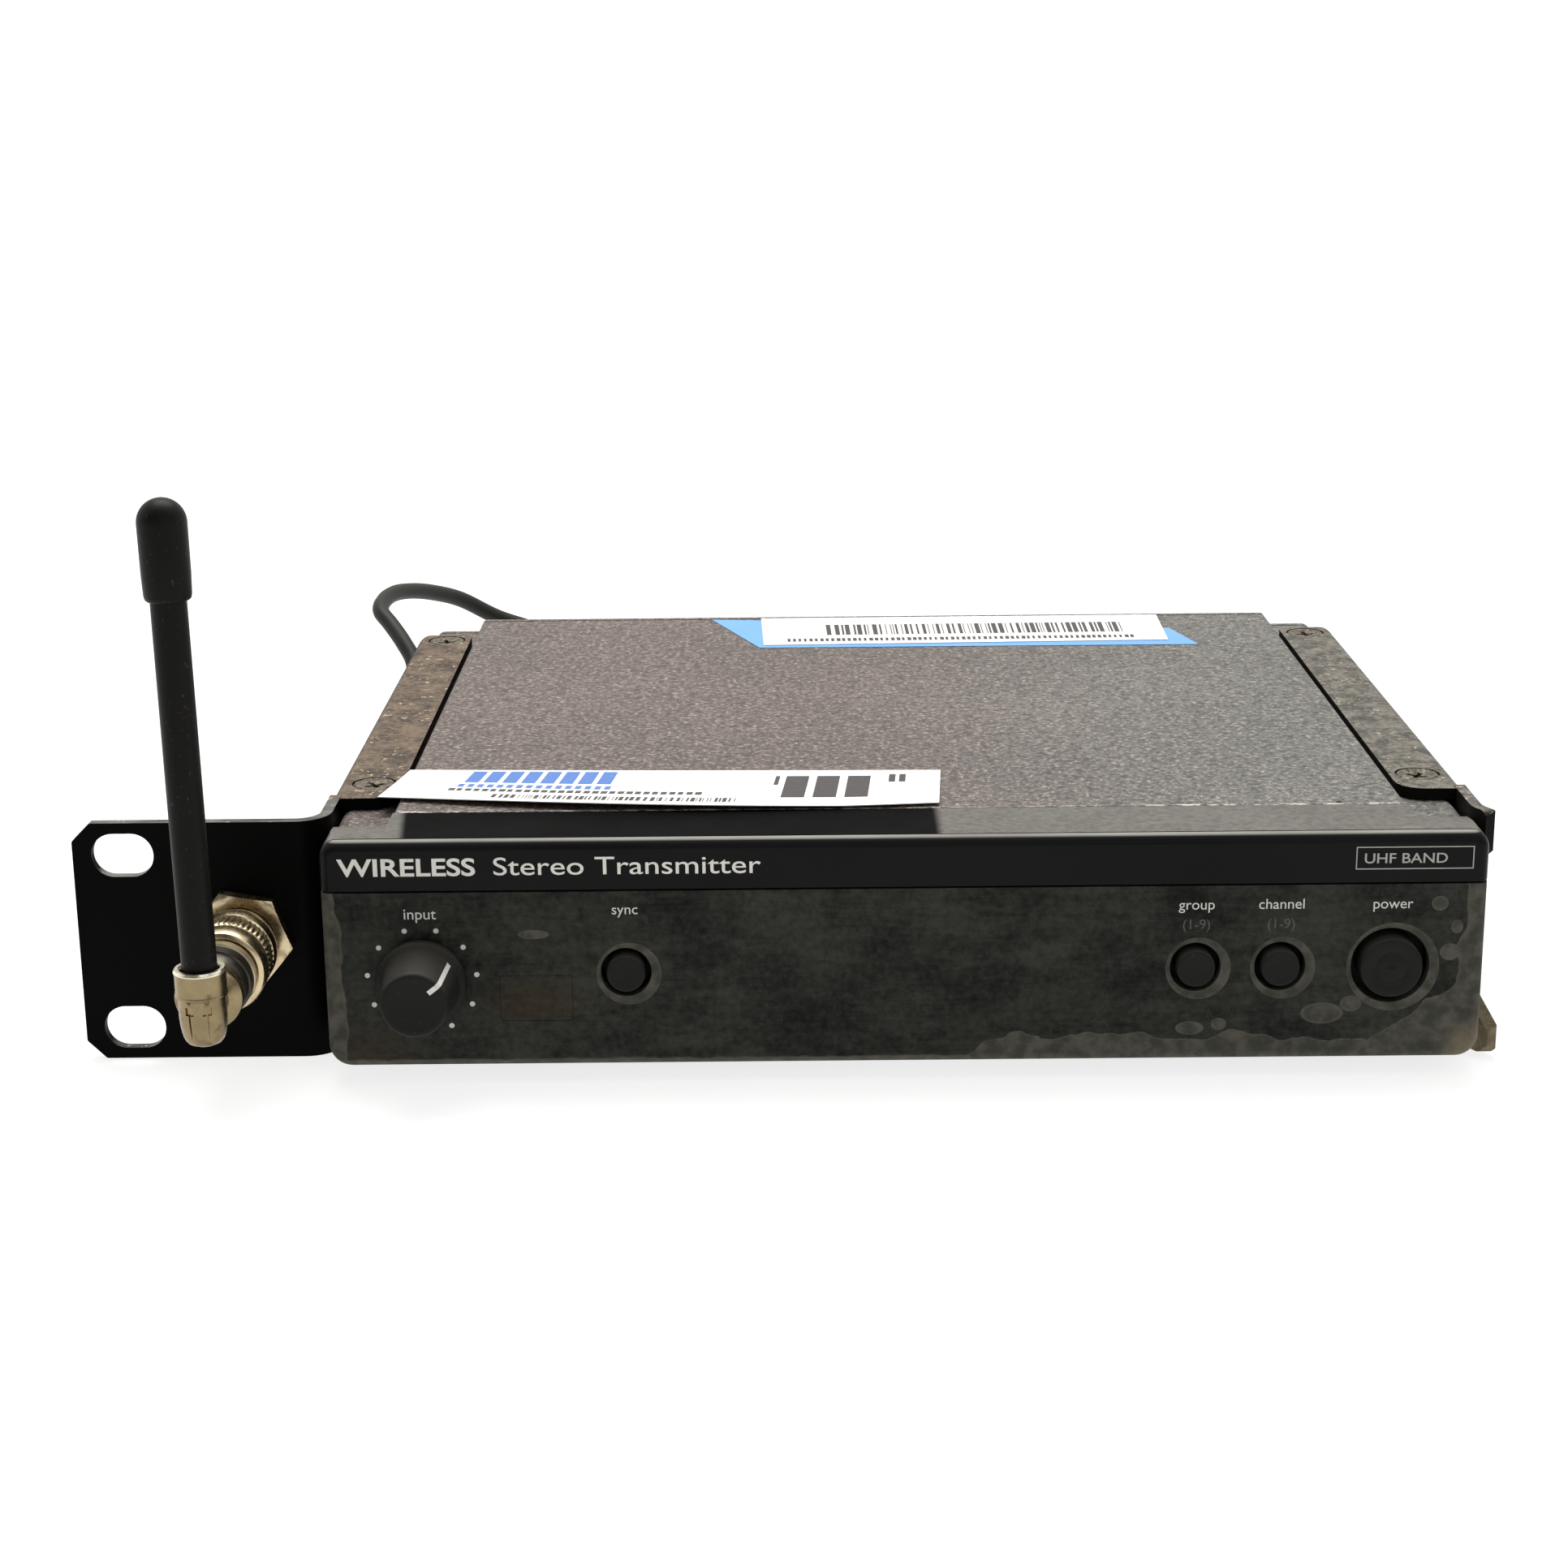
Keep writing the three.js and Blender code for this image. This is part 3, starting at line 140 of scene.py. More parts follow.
class Net:
    """One material's node graph, with positions in millimetres of the row frame."""

    def __init__(self, name):
        self.material = bpy.data.materials.new(name)
        self.material.use_nodes = True
        self.tree = self.material.node_tree
        self.tree.nodes.clear()
        place = self.node("ShaderNodeTexCoord")
        scale = self.node("ShaderNodeVectorMath")
        scale.operation = "SCALE"
        scale.inputs["Scale"].default_value = 1 / MM
        self.link(place.outputs["Object"], scale.inputs[0])
        self.at = scale.outputs["Vector"]
        apart = self.node("ShaderNodeSeparateXYZ")
        self.link(self.at, apart.inputs[0])
        self.x, self.y, self.z = (Num(self, s) for s in apart.outputs)
        facing = self.node("ShaderNodeNewGeometry")
        normal = self.node("ShaderNodeSeparateXYZ")
        self.link(facing.outputs["Normal"], normal.inputs[0])
        self.normal_x, self.normal_y, self.normal_z = (Num(self, s) for s in normal.outputs)

    def node(self, kind):
        return self.tree.nodes.new(kind)

    def link(self, a, b):
        self.tree.links.new(a, b)

    def feed(self, socket, value):
        if isinstance(value, Num):
            self.link(value.socket, socket)
        elif isinstance(value, bpy.types.NodeSocket):
            self.link(value, socket)
        else:
            socket.default_value = value

    def math(self, operation, *values):
        node = self.node("ShaderNodeMath")
        node.operation = operation
        for socket, value in zip(node.inputs, values):
            self.feed(socket, value)
        return Num(self, node.outputs[0])

    def stretched(self, size, stretch, seed):
        node = self.node("ShaderNodeMapping")
        self.link(self.at, node.inputs["Vector"])
        node.inputs["Scale"].default_value = [1 / (size * s) for s in stretch]
        node.inputs["Location"].default_value = (seed * 7.3, seed * 3.1, seed * 5.7)
        return node.outputs["Vector"]

    def noise(self, size, detail=3, rough=0.55, stretch=(1, 1, 1), seed=0, warp=0):
        node = self.node("ShaderNodeTexNoise")
        self.link(self.stretched(size, stretch, seed), node.inputs["Vector"])
        node.inputs["Scale"].default_value = 1
        node.inputs["Detail"].default_value = detail
        node.inputs["Roughness"].default_value = rough
        node.inputs["Distortion"].default_value = warp
        return Num(self, node.outputs["Fac"])

    def cells(self, size, stretch=(1, 1, 1), seed=0):
        node = self.node("ShaderNodeTexVoronoi")
        self.link(self.stretched(size, stretch, seed), node.inputs["Vector"])
        node.inputs["Scale"].default_value = 1
        return Num(self, node.outputs["Distance"])

    def spot(self, x, z, radius_x, radius_z, soft=0.25):
        """1 inside an ellipse on the front, 0 outside."""
        across = (self.x - x) / radius_x
        along = (self.z - z) / radius_z
        return self.math("SQRT", across * across + along * along).step(1 + soft, 1 - soft)

    def ring(self, x, z, radius, inner, outer):
        """1 where the distance from (x, z) is inside a band, eased at both sides."""
        across, along = self.x - x, self.z - z
        away = self.math("SQRT", across * across + along * along)
        return away.step(inner - radius, inner + radius) * away.step(outer + radius, outer - radius)

    def blend(self, first, second, share):
        node = self.node("ShaderNodeMix")
        node.data_type = "RGBA"
        self.feed(node.inputs[0], share)
        self.feed(node.inputs[6], first)
        self.feed(node.inputs[7], second)
        return node.outputs[2]

    def dim(self, colour, share):
        """Colour times a number."""
        node = self.node("ShaderNodeVectorMath")
        node.operation = "SCALE"
        self.feed(node.inputs[0], colour if isinstance(colour, bpy.types.NodeSocket) else colour[:3])
        self.feed(node.inputs["Scale"], share)
        return node.outputs["Vector"]

    def done(self, colour, rough, metal=0.0, height=None, relief=0.05, strength=1.0, **more):
        shader = self.node("ShaderNodeBsdfPrincipled")
        self.feed(shader.inputs["Base Color"], colour)
        self.feed(shader.inputs["Roughness"], rough)
        self.feed(shader.inputs["Metallic"], metal)
        for socket, value in more.items():
            self.feed(shader.inputs[socket.replace("_", " ")], value)
        if height is not None:
            bump = self.node("ShaderNodeBump")
            bump.inputs["Strength"].default_value = strength
            bump.inputs["Distance"].default_value = relief * MM
            self.feed(bump.inputs["Height"], height)
            self.link(bump.outputs["Normal"], shader.inputs["Normal"])
        out = self.node("ShaderNodeOutputMaterial")
        self.link(shader.outputs[0], out.inputs["Surface"])
        return self.material


# ---------------------------------------------------------------- places read from the CAD

cover_low, cover_high = box("top_cover")
strip_low, strip_high = box("display_strip")
overlay_low, overlay_high = box("front_overlay")
bezel_low, bezel_high = box("front_bezel")
ear_low, ear_high = box("rack_ear_bracket")
side_low, side_high = box("side_bracket")
panel_high = box("rear_panel")[1]
HALF_WIDTH = overlay_high[0]
FRONT = overlay_low[1]
TOP = strip_high[2]
SHELF_DROP, SHELF_WIDTH = 2.6, 10.5
STEP_X = HALF_WIDTH - SHELF_WIDTH
SHELF = TOP - SHELF_DROP
KNOB_X, _, KNOB_Z = middle("input_knob")
BUTTONS = {name: middle(f"{name}_button") for name in ("sync", "group", "channel", "power")}
BUTTON_Z = BUTTONS["sync"][2]
SMALL_HOLE, POWER_HOLE = 4.35, 6.7
HOLE_RADIUS = {"sync": SMALL_HOLE, "group": SMALL_HOLE, "channel": SMALL_HOLE, "power": POWER_HOLE}
STRIP_SETBACK = 28
STRIP_FRONT, STRIP_REAR = FRONT + STRIP_SETBACK, side_high[1]
EAR_FRONT = ear_low[1]
ADAPTER_X, _, ADAPTER_Z = middle("antenna_coupling")
COLLAR_LENGTH = 8.7
COLLAR_REAR = box("antenna_collar")[0][1] + COLLAR_LENGTH

# Sizes shared by several pieces
THICK, BEND, CLEARANCE = 2.0, 2.5, 0.3
BRACKET_INNER = HALF_WIDTH + CLEARANCE
BRACKET_OUTER = HALF_WIDTH + CLEARANCE + THICK
BEZEL_WALL = 2.4
WINDOW_CORNER = 0.6
THREAD_CREST, THREAD_ROOT, THREAD_HOLE = 6, 5.75, 6.3
BARREL_RADIUS, BARREL_BORE = 4.85, 3.6
EAR_CHAMFER = 3.3
SLOT_SPACING, SLOT_FROM_EDGE = 31.75, 8.7
SLOT_HALF_LENGTH, SLOT_HALF_HEIGHT, SLOT_CORNER = 5.4, 3.9, 3.85
TAB_TURN, TAB_BEND = 28, 6
DIAL_RADIUS, DIAL_MARKS, DIAL_START, DIAL_SWEEP, DIAL_DOT = 9.4, 10, 240, 300, 0.46
POINTER_ANGLE = 39.6


# ---------------------------------------------------------------- materials

def make_overlay(name, tinted):
    """Worn front overlay: mottled centre, dried residue along the edges and round the controls."""
    m = Net(name)
    left, right, bottom = -HALF_WIDTH, HALF_WIDTH, 0
    wander = m.noise(13, 2, 0.5, seed=1) - 0.5
    fine = m.noise(3.2, 3, 0.5, seed=2) - 0.5
    edge_left = (m.x - left + wander * 5 + fine * 1.5).step(4.2, 2.4)
    edge_right = (m.x - right + wander * 7 + fine * 1.5).step(-5, -3.2)
    low_reach = (m.x - 4).step(0, 16)
    edge_low = (m.z - bottom + wander * 9 + fine * 2 + 7 - low_reach * 7).step(5.2, 4.2)
    lip = (m.z - bottom + fine).step(2.4, 0.6)
    corner = (m.x - 74 - (m.z * 1.3) + wander * 12 + fine * 3).step(2, 4)
    blobs = [
        m.spot(90.9, 28.1, 1.4, 1.3), m.spot(94, 23.9, 1, 1.2), m.spot(93, 19.4, 1.7, 1.5),
        m.spot(71.6, 8.5, 3.6, 1.9), m.spot(76.5, 10.2, 1.8, 1.4), m.spot(89, 7.9, 1.6, 1.4),
        m.spot(54, 6.7, 1.3, 1.1), m.spot(-63, 24, 2.6, 0.8), m.spot(49, 6.0, 2.4, 1.2),
    ]
    halos = [
        m.ring(BUTTONS[name][0] + 0.5, BUTTON_Z - 0.3, 0.12, HOLE_RADIUS[name] - 1, HOLE_RADIUS[name] + 1.2)
        for name in BUTTONS
    ]
    knob_halo = m.ring(KNOB_X, KNOB_Z, 0.2, 6, 8.9)
    residue = edge_left.most(edge_right).most(edge_low).most(corner).most(lip * 0.7)
    for mark in (*blobs, *halos, knob_halo * 0.15):
        residue = residue.most(mark * 0.85)
    clouds = m.noise(14, 4, 0.62, seed=4)
    smear = m.noise(4, 4, 0.65, (3.2, 1, 0.8), seed=5)
    streak = m.noise(1.1, 3, 0.7, (12, 1, 0.5), seed=6)
    grain = m.noise(0.35, 2, 0.6, seed=7)
    speckle = m.noise(1.3, 3, 0.7, seed=9)
    tone = clouds * 0.6 + smear * 0.4 + streak * 0.15 + speckle * 0.45 + grain * 0.15
    dark = m.blend(srgb(15, 16, 14), srgb(58, 59, 53), tone.step(0.62, 1.15))
    brown = m.spot(-97, 1, 12, 6, 0.6).most(m.spot(-64, 12, 9, 3, 0.7) * 0.8)
    dark = m.blend(dark, srgb(66, 52, 38), brown * 0.6 * clouds + tinted)
    pale = m.blend(srgb(60, 60, 54), srgb(84, 82, 74), m.noise(3, 3, 0.6, seed=8).step(0.35, 0.7))
    corner_tone = (m.x - 90).step(0, 8) * m.z.step(8, 2)
    pale = m.blend(pale, srgb(132, 122, 98), corner_tone * 0.6)
    rim = residue.step(0.25, 0.5) * residue.step(0.85, 0.55)
    colour = m.blend(dark, pale, residue.step(0.3, 0.6))
    colour = m.blend(colour, srgb(92, 88, 76), rim * 0.35)
    rough = 0.42 + clouds * 0.2 + residue * 0.15
    height = grain * 0.4 + residue * 0.8 + streak * 0.2
    return m.done(colour, rough, 0, height, 0.03, 0.7, Specular_IOR_Level=0.07)


def make_gloss():
    m = Net("gloss_strip")
    haze = m.noise(22, 3, 0.6, (2, 1, 1), seed=1)
    dust = m.cells(1.9, seed=3).step(0.09, 0.03) * m.noise(5, 2, seed=4).step(0.5, 0.62)
    edge = (m.z - TOP + 1.9).step(0, 1.4)
    colour = m.blend(srgb(12, 12, 12), srgb(24, 24, 24), haze)
    colour = m.blend(colour, srgb(58, 56, 52), dust * 0.3)
    # Painted highlight: the top of the strip's rolled crest is blended to pale grey as a lit edge.
    crest_highlight = (m.z - TOP + 0.42).step(0, 0.34) * (m.noise(9, 3, 0.6, (3, 1, 1), seed=6) * 0.7 + 0.35)
    colour = m.blend(colour, srgb(168, 166, 158), crest_highlight)
    rough = 0.22 + haze * 0.14 + dust * 0.3 + edge * 0.2
    return m.done(colour, rough, 0, m.noise(0.5, 2, seed=5), 0.004, 0.5, Specular_IOR_Level=0.07)


def make_moulding():
    """Moulded bezel with fine texture; its top shows handling marks and is painted lighter as a lit top, and
    a painted shadow darkens it under the front label.
    """
    m = Net("moulding_textured")
    grain = m.noise(0.28, 2, 0.6, seed=1)
    cloud = m.noise(16, 4, 0.6, seed=2)
    scuff = m.noise(2.2, 3, 0.7, (7, 1, 1), seed=3).step(0.6, 0.75)
    blotch = m.noise(1.4, 3, 0.7, seed=4)
    up = m.normal_z.step(0.5, 0.9)
    colour = m.blend(srgb(78, 77, 73), srgb(120, 117, 111), cloud * 0.5 + blotch.step(0.3, 0.7) * 0.5)
    colour = m.blend(colour, srgb(150, 145, 136), scuff * 0.4)
    # Painted shadow: under the front label the bezel top is blended to near-black shade; film is the mask of
    # this shadow.
    label_shadow_left = (m.x + 85 + (m.y - FRONT) * 0.1).step(-0.9, 0.9)
    film = label_shadow_left * (m.x - 6.3).step(0.9, -0.9)
    shade = m.blend(srgb(6, 6, 6), srgb(20, 20, 20), m.noise(8, 3, 0.6, seed=5))
    colour = m.blend(colour, shade, film)
    # Painted light: upward faces keep the lighter tone as a lit top, and every other face gets the dark
    # moulding tone.
    colour = m.blend(srgb(14, 14, 13), colour, up)
    rough = 0.5 + cloud * 0.18
    # The specular level drops inside the painted label shadow.
    return m.done(colour, rough, 0, grain, 0.02, 0.8, Specular_IOR_Level=0.1 - film * 0.09)


def make_powder():
    """Powder coat: hard fine speckle with soft large clouds, worn bright along the front edge."""
    m = Net("powder_coat")
    grain = m.noise(0.9, 3, 0.75, seed=1)
    speck = m.cells(0.9, seed=2)
    flake = m.noise(1.5, 2, 0.7, seed=6)
    cloud = m.noise(45, 3, 0.6, seed=3)
    tint = m.x.step(-20, 80)
    warm = m.blend(srgb(82, 73, 69), srgb(108, 96, 90), cloud)
    cool = m.blend(srgb(84, 84, 80), srgb(110, 110, 105), cloud)
    colour = m.blend(warm, cool, tint)
    colour = m.blend(colour, srgb(184, 174, 164), grain.step(0.5, 0.72) * 0.75)
    colour = m.blend(colour, srgb(26, 22, 22), grain.step(0.5, 0.3) * 0.75)
    colour = m.blend(colour, srgb(48, 42, 40), flake.step(0.5, 0.64) * 0.6)
    wear = (m.y - cover_low[1]).step(0.9, 0.2) * m.z.step(TOP - 1.2, TOP - 0.3)
    wear = wear * m.noise(1.3, 4, 0.7, (2.4, 1, 1), seed=4).step(0.46, 0.56)
    wear = wear * m.noise(25, 2, seed=5).step(0.35, 0.55)
    colour = m.blend(colour, srgb(214, 208, 198), wear)
    rough = 0.52 + grain * 0.22
    height = grain * 0.7 + speck * 0.5
    return m.done(colour, rough, 0, height, 0.05, 0.9, Specular_IOR_Level=0.3)


def make_steel(name, dark, light, dust_and_reflection_tone, dust_and_reflection_share):
    """Painted bracket steel; upward faces of the strip carry brown dust mixed with a painted reflection and
    bright specks, and the ear's upward edge a painted highlight.
    """
    m = Net(name)
    peel = m.noise(0.9, 2, 0.5, seed=1)
    cloud = m.noise(18, 4, 0.6, seed=2)
    up = m.normal_z.step(0.6, 0.9)
    colour = m.blend(dark, light, cloud * 0.6 + peel * 0.25)
    on_strip = (m.y - STRIP_FRONT).step(-1, 0.5)
    # Upward faces of the strip: partly brown dust, partly a painted reflection of the warm surroundings;
    # dust is the mask of both.
    dust = up * on_strip * dust_and_reflection_share
    # Painted highlight: upward faces in front of the strip, along the ear's top edge, are blended to pale
    # grey.
    edge_highlight = up * on_strip.step(0.5, 0.1) * m.noise(5, 3, 0.6, (2, 1, 1), seed=7).step(0.3, 0.7)
    colour = m.blend(colour, srgb(128, 126, 120), edge_highlight * 0.7)
    film = m.noise(6, 4, 0.65, seed=3) * 0.5 + m.noise(1.2, 3, 0.7, seed=6) * 0.5
    top = m.blend(dust_and_reflection_tone, srgb(112, 95, 77), film.step(0.38, 0.62))
    colour = m.blend(colour, top, dust)
    crumbs = m.noise(1.1, 2, 0.7, seed=4).step(0.62, 0.7) * m.noise(7, 3, seed=5).step(0.36, 0.58)
    colour = m.blend(colour, srgb(216, 200, 172), crumbs * up * 0.9)
    rough = 0.36 + cloud * 0.14 + dust * 0.22
    return m.done(colour, rough, 0, peel + crumbs * up, 0.03, 0.6, Specular_IOR_Level=up * 0.22 + 0.03)


def make_side_steel():
    """Right bracket: upward faces partly dust and partly a painted bronze reflection, and an olive-beige low
    tab covered in dust.
    """
    m = Net("side_steel")
    peel = m.noise(0.9, 2, 0.5, seed=1)
    cloud = m.noise(12, 4, 0.6, seed=2)
    film = m.noise(5, 4, 0.65, seed=3)
    up = m.normal_z.step(0.6, 0.9)
    low_tab = m.z.step(11, 8) * (m.y - FRONT).step(24, 19)
    film = film * 0.5 + m.noise(1.2, 3, 0.7, seed=6) * 0.5
    colour = m.blend(srgb(10, 10, 10), srgb(30, 29, 27), cloud)
    # Upward faces: partly dust, partly a painted bronze reflection of the surroundings.
    top = m.blend(srgb(54, 52, 47), srgb(118, 113, 102), film.step(0.38, 0.62))
    colour = m.blend(colour, top, up * 0.95)
    beige = m.blend(srgb(96, 88, 66), srgb(146, 134, 106), film.step(0.3, 0.7))
    colour = m.blend(colour, beige, low_tab * 0.85)
    crumbs = m.noise(1.1, 2, 0.7, seed=4).step(0.62, 0.7) * m.noise(7, 3, seed=5).step(0.36, 0.58)
    colour = m.blend(colour, srgb(204, 194, 170), crumbs * up * 0.75)
    rough = 0.4 + cloud * 0.16 + up * 0.15
    return m.done(colour, rough, 0, peel + crumbs * up, 0.03, 0.6, Specular_IOR_Level=up * 0.2 + 0.05)


def make_screw():
    m = Net("screw_steel")
    turned = m.noise(0.6, 2, 0.6, seed=1)
    grime = m.noise(1.5, 3, 0.6, seed=2)
    colour = m.blend(srgb(60, 55, 48), srgb(140, 128, 108), turned.step(0.35, 0.75))
    colour = m.blend(colour, srgb(34, 31, 28), grime.step(0.5, 0.7) * 0.7)
    return m.done(colour, 0.34 + grime * 0.25, 0.75, turned, 0.02, 0.5)


def make_nickel(name, low, high, bright_rim=200):
    """Warm nickel plate with grime gathered in patches, polished above bright_rim."""
    m = Net(name)
    cloud = m.noise(4, 4, 0.6, seed=1)
    fine = m.noise(0.7, 2, 0.5, (1, 3, 1), seed=2)
    grime = m.noise(3.2, 3, 0.55, seed=3).step(0.54, 0.74)
    colour = m.blend(low, high, cloud)
    colour = m.blend(colour, srgb(84, 68, 46), grime * 0.6)
    rim = (m.z - bright_rim).step(0, 0.25)
    colour = m.blend(colour, srgb(246, 238, 216), rim)
    rough = 0.2 + fine * 0.14 + grime * 0.22
    return m.done(colour, rough, 1, fine, 0.003, 0.4)


def make_dark_metal():
    m = Net("dark_metal")
    cloud = m.noise(3, 4, 0.6, seed=1)
    fine = m.noise(0.4, 2, 0.6, seed=2)
    colour = m.blend(srgb(40, 38, 34), srgb(84, 80, 70), cloud)
    pale = (m.y - (COLLAR_REAR - 2.6)).step(0, 0.3) * (m.y - COLLAR_REAR - 4).step(0.5, 0)
    colour = m.blend(colour, m.blend(srgb(150, 136, 112), srgb(206, 192, 164), cloud), pale)
    return m.done(colour, 0.24 + cloud * 0.2, 0.9, fine, 0.006, 0.5)


def make_rubber():
    m = Net("black_rubber")
    cloud = m.noise(7, 4, 0.6, seed=1)
    grain = m.noise(0.3, 2, 0.6, seed=2)
    colour = m.blend(srgb(7, 7, 5), srgb(22, 21, 17), cloud * 0.8 + grain * 0.2)
    dust = m.noise(0.9, 2, 0.7, seed=3).step(0.64, 0.72)
    colour = m.blend(colour, srgb(74, 70, 60), dust * 0.35)
    return m.done(colour, 0.36 + cloud * 0.14, 0, grain, 0.015, 0.7, Specular_IOR_Level=0.1)


def make_jacket():
    m = Net("cable_jacket")
    cloud = m.noise(9, 4, 0.6, seed=1)
    grain = m.noise(0.5, 2, 0.6, seed=2)
    colour = m.blend(srgb(20, 21, 18), srgb(44, 45, 40), cloud)
    return m.done(colour, 0.4 + cloud * 0.16, 0, grain, 0.02, 0.6, Specular_IOR_Level=0.2)


def make_plastic():
    """Soft-touch black plastic of knob and buttons; upward faces are painted lighter as lit tops, and dust
    flecks are scattered over it.
    """
    m = Net("control_plastic")
    grain = m.noise(0.25, 2, 0.6, seed=1)
    cloud = m.noise(4, 3, 0.6, seed=2)
    up = m.normal_z.step(0.1, 0.8)
    colour = m.blend(srgb(20, 20, 18), srgb(34, 34, 32), cloud * 0.6 + grain * 0.4)
    # Painted light: upward faces are blended towards a lighter grey as if lit from above.
    colour = m.blend(colour, srgb(66, 65, 60), up * (0.45 + cloud * 0.4))
    dust = m.noise(0.9, 2, 0.7, seed=3).step(0.66, 0.78)
    colour = m.blend(colour, srgb(84, 82, 76), dust * 0.25)
    return m.done(colour, 0.44 + cloud * 0.14, 0, grain, 0.015, 0.7, Specular_IOR_Level=0.1)


def make_ink(name, tone, worn):
    m = Net(name)
    wear = m.noise(0.5, 3, 0.6, seed=1).step(0.58, 0.72)
    shade = m.noise(2, 2, seed=2)
    colour = m.blend(m.dim(tone, 0.86 + shade * 0.2), worn, wear * 0.35)
    return m.done(colour, 0.5 + shade * 0.1, 0, wear, 0.004, 0.4)


def make_paper():
    m = Net("label_paper")
    fibre = m.noise(0.5, 3, 0.6, (1, 2, 1), seed=1)
    cloud = m.noise(18, 3, 0.6, seed=2)
    colour = m.blend(srgb(226, 224, 218), srgb(248, 247, 243), cloud * 0.6 + fibre * 0.4)
    return m.done(colour, 0.5 + fibre * 0.12, 0, fibre, 0.012, 0.6, Specular_IOR_Level=0.35)


def make_blue():
    m = Net("label_blue")
    fibre = m.noise(0.6, 3, 0.6, seed=1)
    colour = m.blend(srgb(76, 140, 206), srgb(112, 172, 232), fibre * 0.6 + m.noise(12, 2, seed=2) * 0.4)
    return m.done(colour, 0.42 + fibre * 0.1, 0, fibre, 0.01, 0.5)


def make_board():
    m = Net("circuit_board")
    trace = m.cells(3, (1, 1, 1), seed=1).step(0.5, 0.42)
    weave = m.noise(0.5, 2, 0.5, seed=2)
    colour = m.blend(srgb(20, 62, 36), srgb(40, 98, 58), trace * 0.6 + weave * 0.2)
    return m.done(colour, 0.4 + weave * 0.15, 0, trace, 0.03, 0.6)


def make_tin():
    m = Net("tin_plate")
    cloud = m.noise(6, 4, 0.6, seed=1)
    brush = m.noise(0.5, 2, 0.6, (9, 1, 1), seed=2)
    colour = m.blend(srgb(140, 140, 136), srgb(196, 196, 190), cloud * 0.5 + brush * 0.4)
    return m.done(colour, 0.3 + brush * 0.15, 1, brush, 0.008, 0.5)


overlay_look = make_overlay("overlay_worn", 0.0)
gloss_look = make_gloss()
moulding_look = make_moulding()
powder_look = make_powder()
ear_look = make_steel("ear_steel", srgb(4, 4, 4), srgb(11, 11, 10), srgb(52, 42, 33), 0.97)
side_look = make_side_steel()
screw_look = make_screw()
nickel_look = make_nickel("nickel_plate", srgb(170, 150, 114), srgb(228, 212, 178))
ELBOW_RIM = box("antenna_elbow")[1][2] - 0.75
brass_look = make_nickel("nickel_dull", srgb(104, 92, 68), srgb(158, 142, 108), ELBOW_RIM)
dark_metal_look = make_dark_metal()
rubber_look = make_rubber()
jacket_look = make_jacket()
plastic_look = make_plastic()
white_ink = make_ink("white_ink", srgb(224, 222, 214), srgb(90, 88, 82))
faint_white = make_ink("band_ink", srgb(166, 164, 158), srgb(90, 88, 82))
soft_ink = make_ink("control_ink", srgb(206, 205, 198), srgb(110, 108, 102))
faint_ink = make_ink("faint_ink", srgb(66, 66, 60), srgb(44, 44, 40))
black_ink = make_ink("black_ink", srgb(40, 33, 32), srgb(110, 104, 100))
blue_ink = make_ink("blue_ink", srgb(62, 112, 186), srgb(150, 176, 214))
paper_look = make_paper()
blue_look = make_blue()
infrared_look = make_overlay("infrared_window", 0.12)
board_look = make_board()
tin_look = make_tin()


# ---------------------------------------------------------------- mesh helpers

def raw(verts, faces):
    """A loose working object in millimetres, faces turned outward."""
    mesh = bpy.data.meshes.new("work")
    mesh.from_pydata([tuple(v) for v in verts], [], faces)
    bm = bmesh.new()
    bm.from_mesh(mesh)
    bmesh.ops.remove_doubles(bm, verts=bm.verts, dist=1e-5)
    bmesh.ops.recalc_face_normals(bm, faces=bm.faces)
    bm.to_mesh(mesh)
    bm.free()
    obj = bpy.data.objects.new("work", mesh)
    bpy.context.scene.collection.objects.link(obj)
    return obj


def front_view(u, v, w):
    return (u, w, v)


def plan_view(u, v, w):
    return (u, v, w)


def side_view(u, v, w):
    return (w, u, v)


def rounded(corners, steps=8):
    """Points of a polygon whose corners [u, v, radius] are rounded."""
    points = []
    for i, corner in enumerate(corners):
        u, v, radius = (*corner, 0)[:3]
        at = Vector((u, v))
        if radius <= 0:
            points.append(at)
            continue
        before = (Vector(corners[i - 1][:2]) - at).normalized()
        after = (Vector(corners[(i + 1) % len(corners)][:2]) - at).normalized()
        half = before.angle(after) / 2
        centre = at + (before + after).normalized() * radius / math.sin(half)
        start = at + before * radius / math.tan(half) - centre
        end = at + after * radius / math.tan(half) - centre
        sweep = start.angle_signed(end)
        first = math.atan2(start.y, start.x)
        for k in range(steps + 1):
            angle = first - sweep * k / steps
            points.append(centre + radius * Vector((math.cos(angle), math.sin(angle))))
    return points


def rounded_box(u0, u1, v0, v1, radius, steps=8):
    return rounded([(u0, v0, radius), (u1, v0, radius), (u1, v1, radius), (u0, v1, radius)], steps)


def circle(u, v, radius, steps=40):
    return [
        Vector((u + radius * math.cos(a), v + radius * math.sin(a)))
        for a in (2 * math.pi * k / steps for k in range(steps))
    ]


def prism(outline, w0, w1, view):
    count = len(outline)
    verts = [view(p[0], p[1], w) for w in (w0, w1) for p in outline]
    faces = [list(range(count)), list(range(2 * count - 1, count - 1, -1))]
    faces += [[i, (i + 1) % count, count + (i + 1) % count, count + i] for i in range(count)]
    return raw(verts, faces)


def block(x0, x1, y0, y1, z0, z1):
    return prism([(x0, y0), (x1, y0), (x1, y1), (x0, y1)], z0, z1, plan_view)


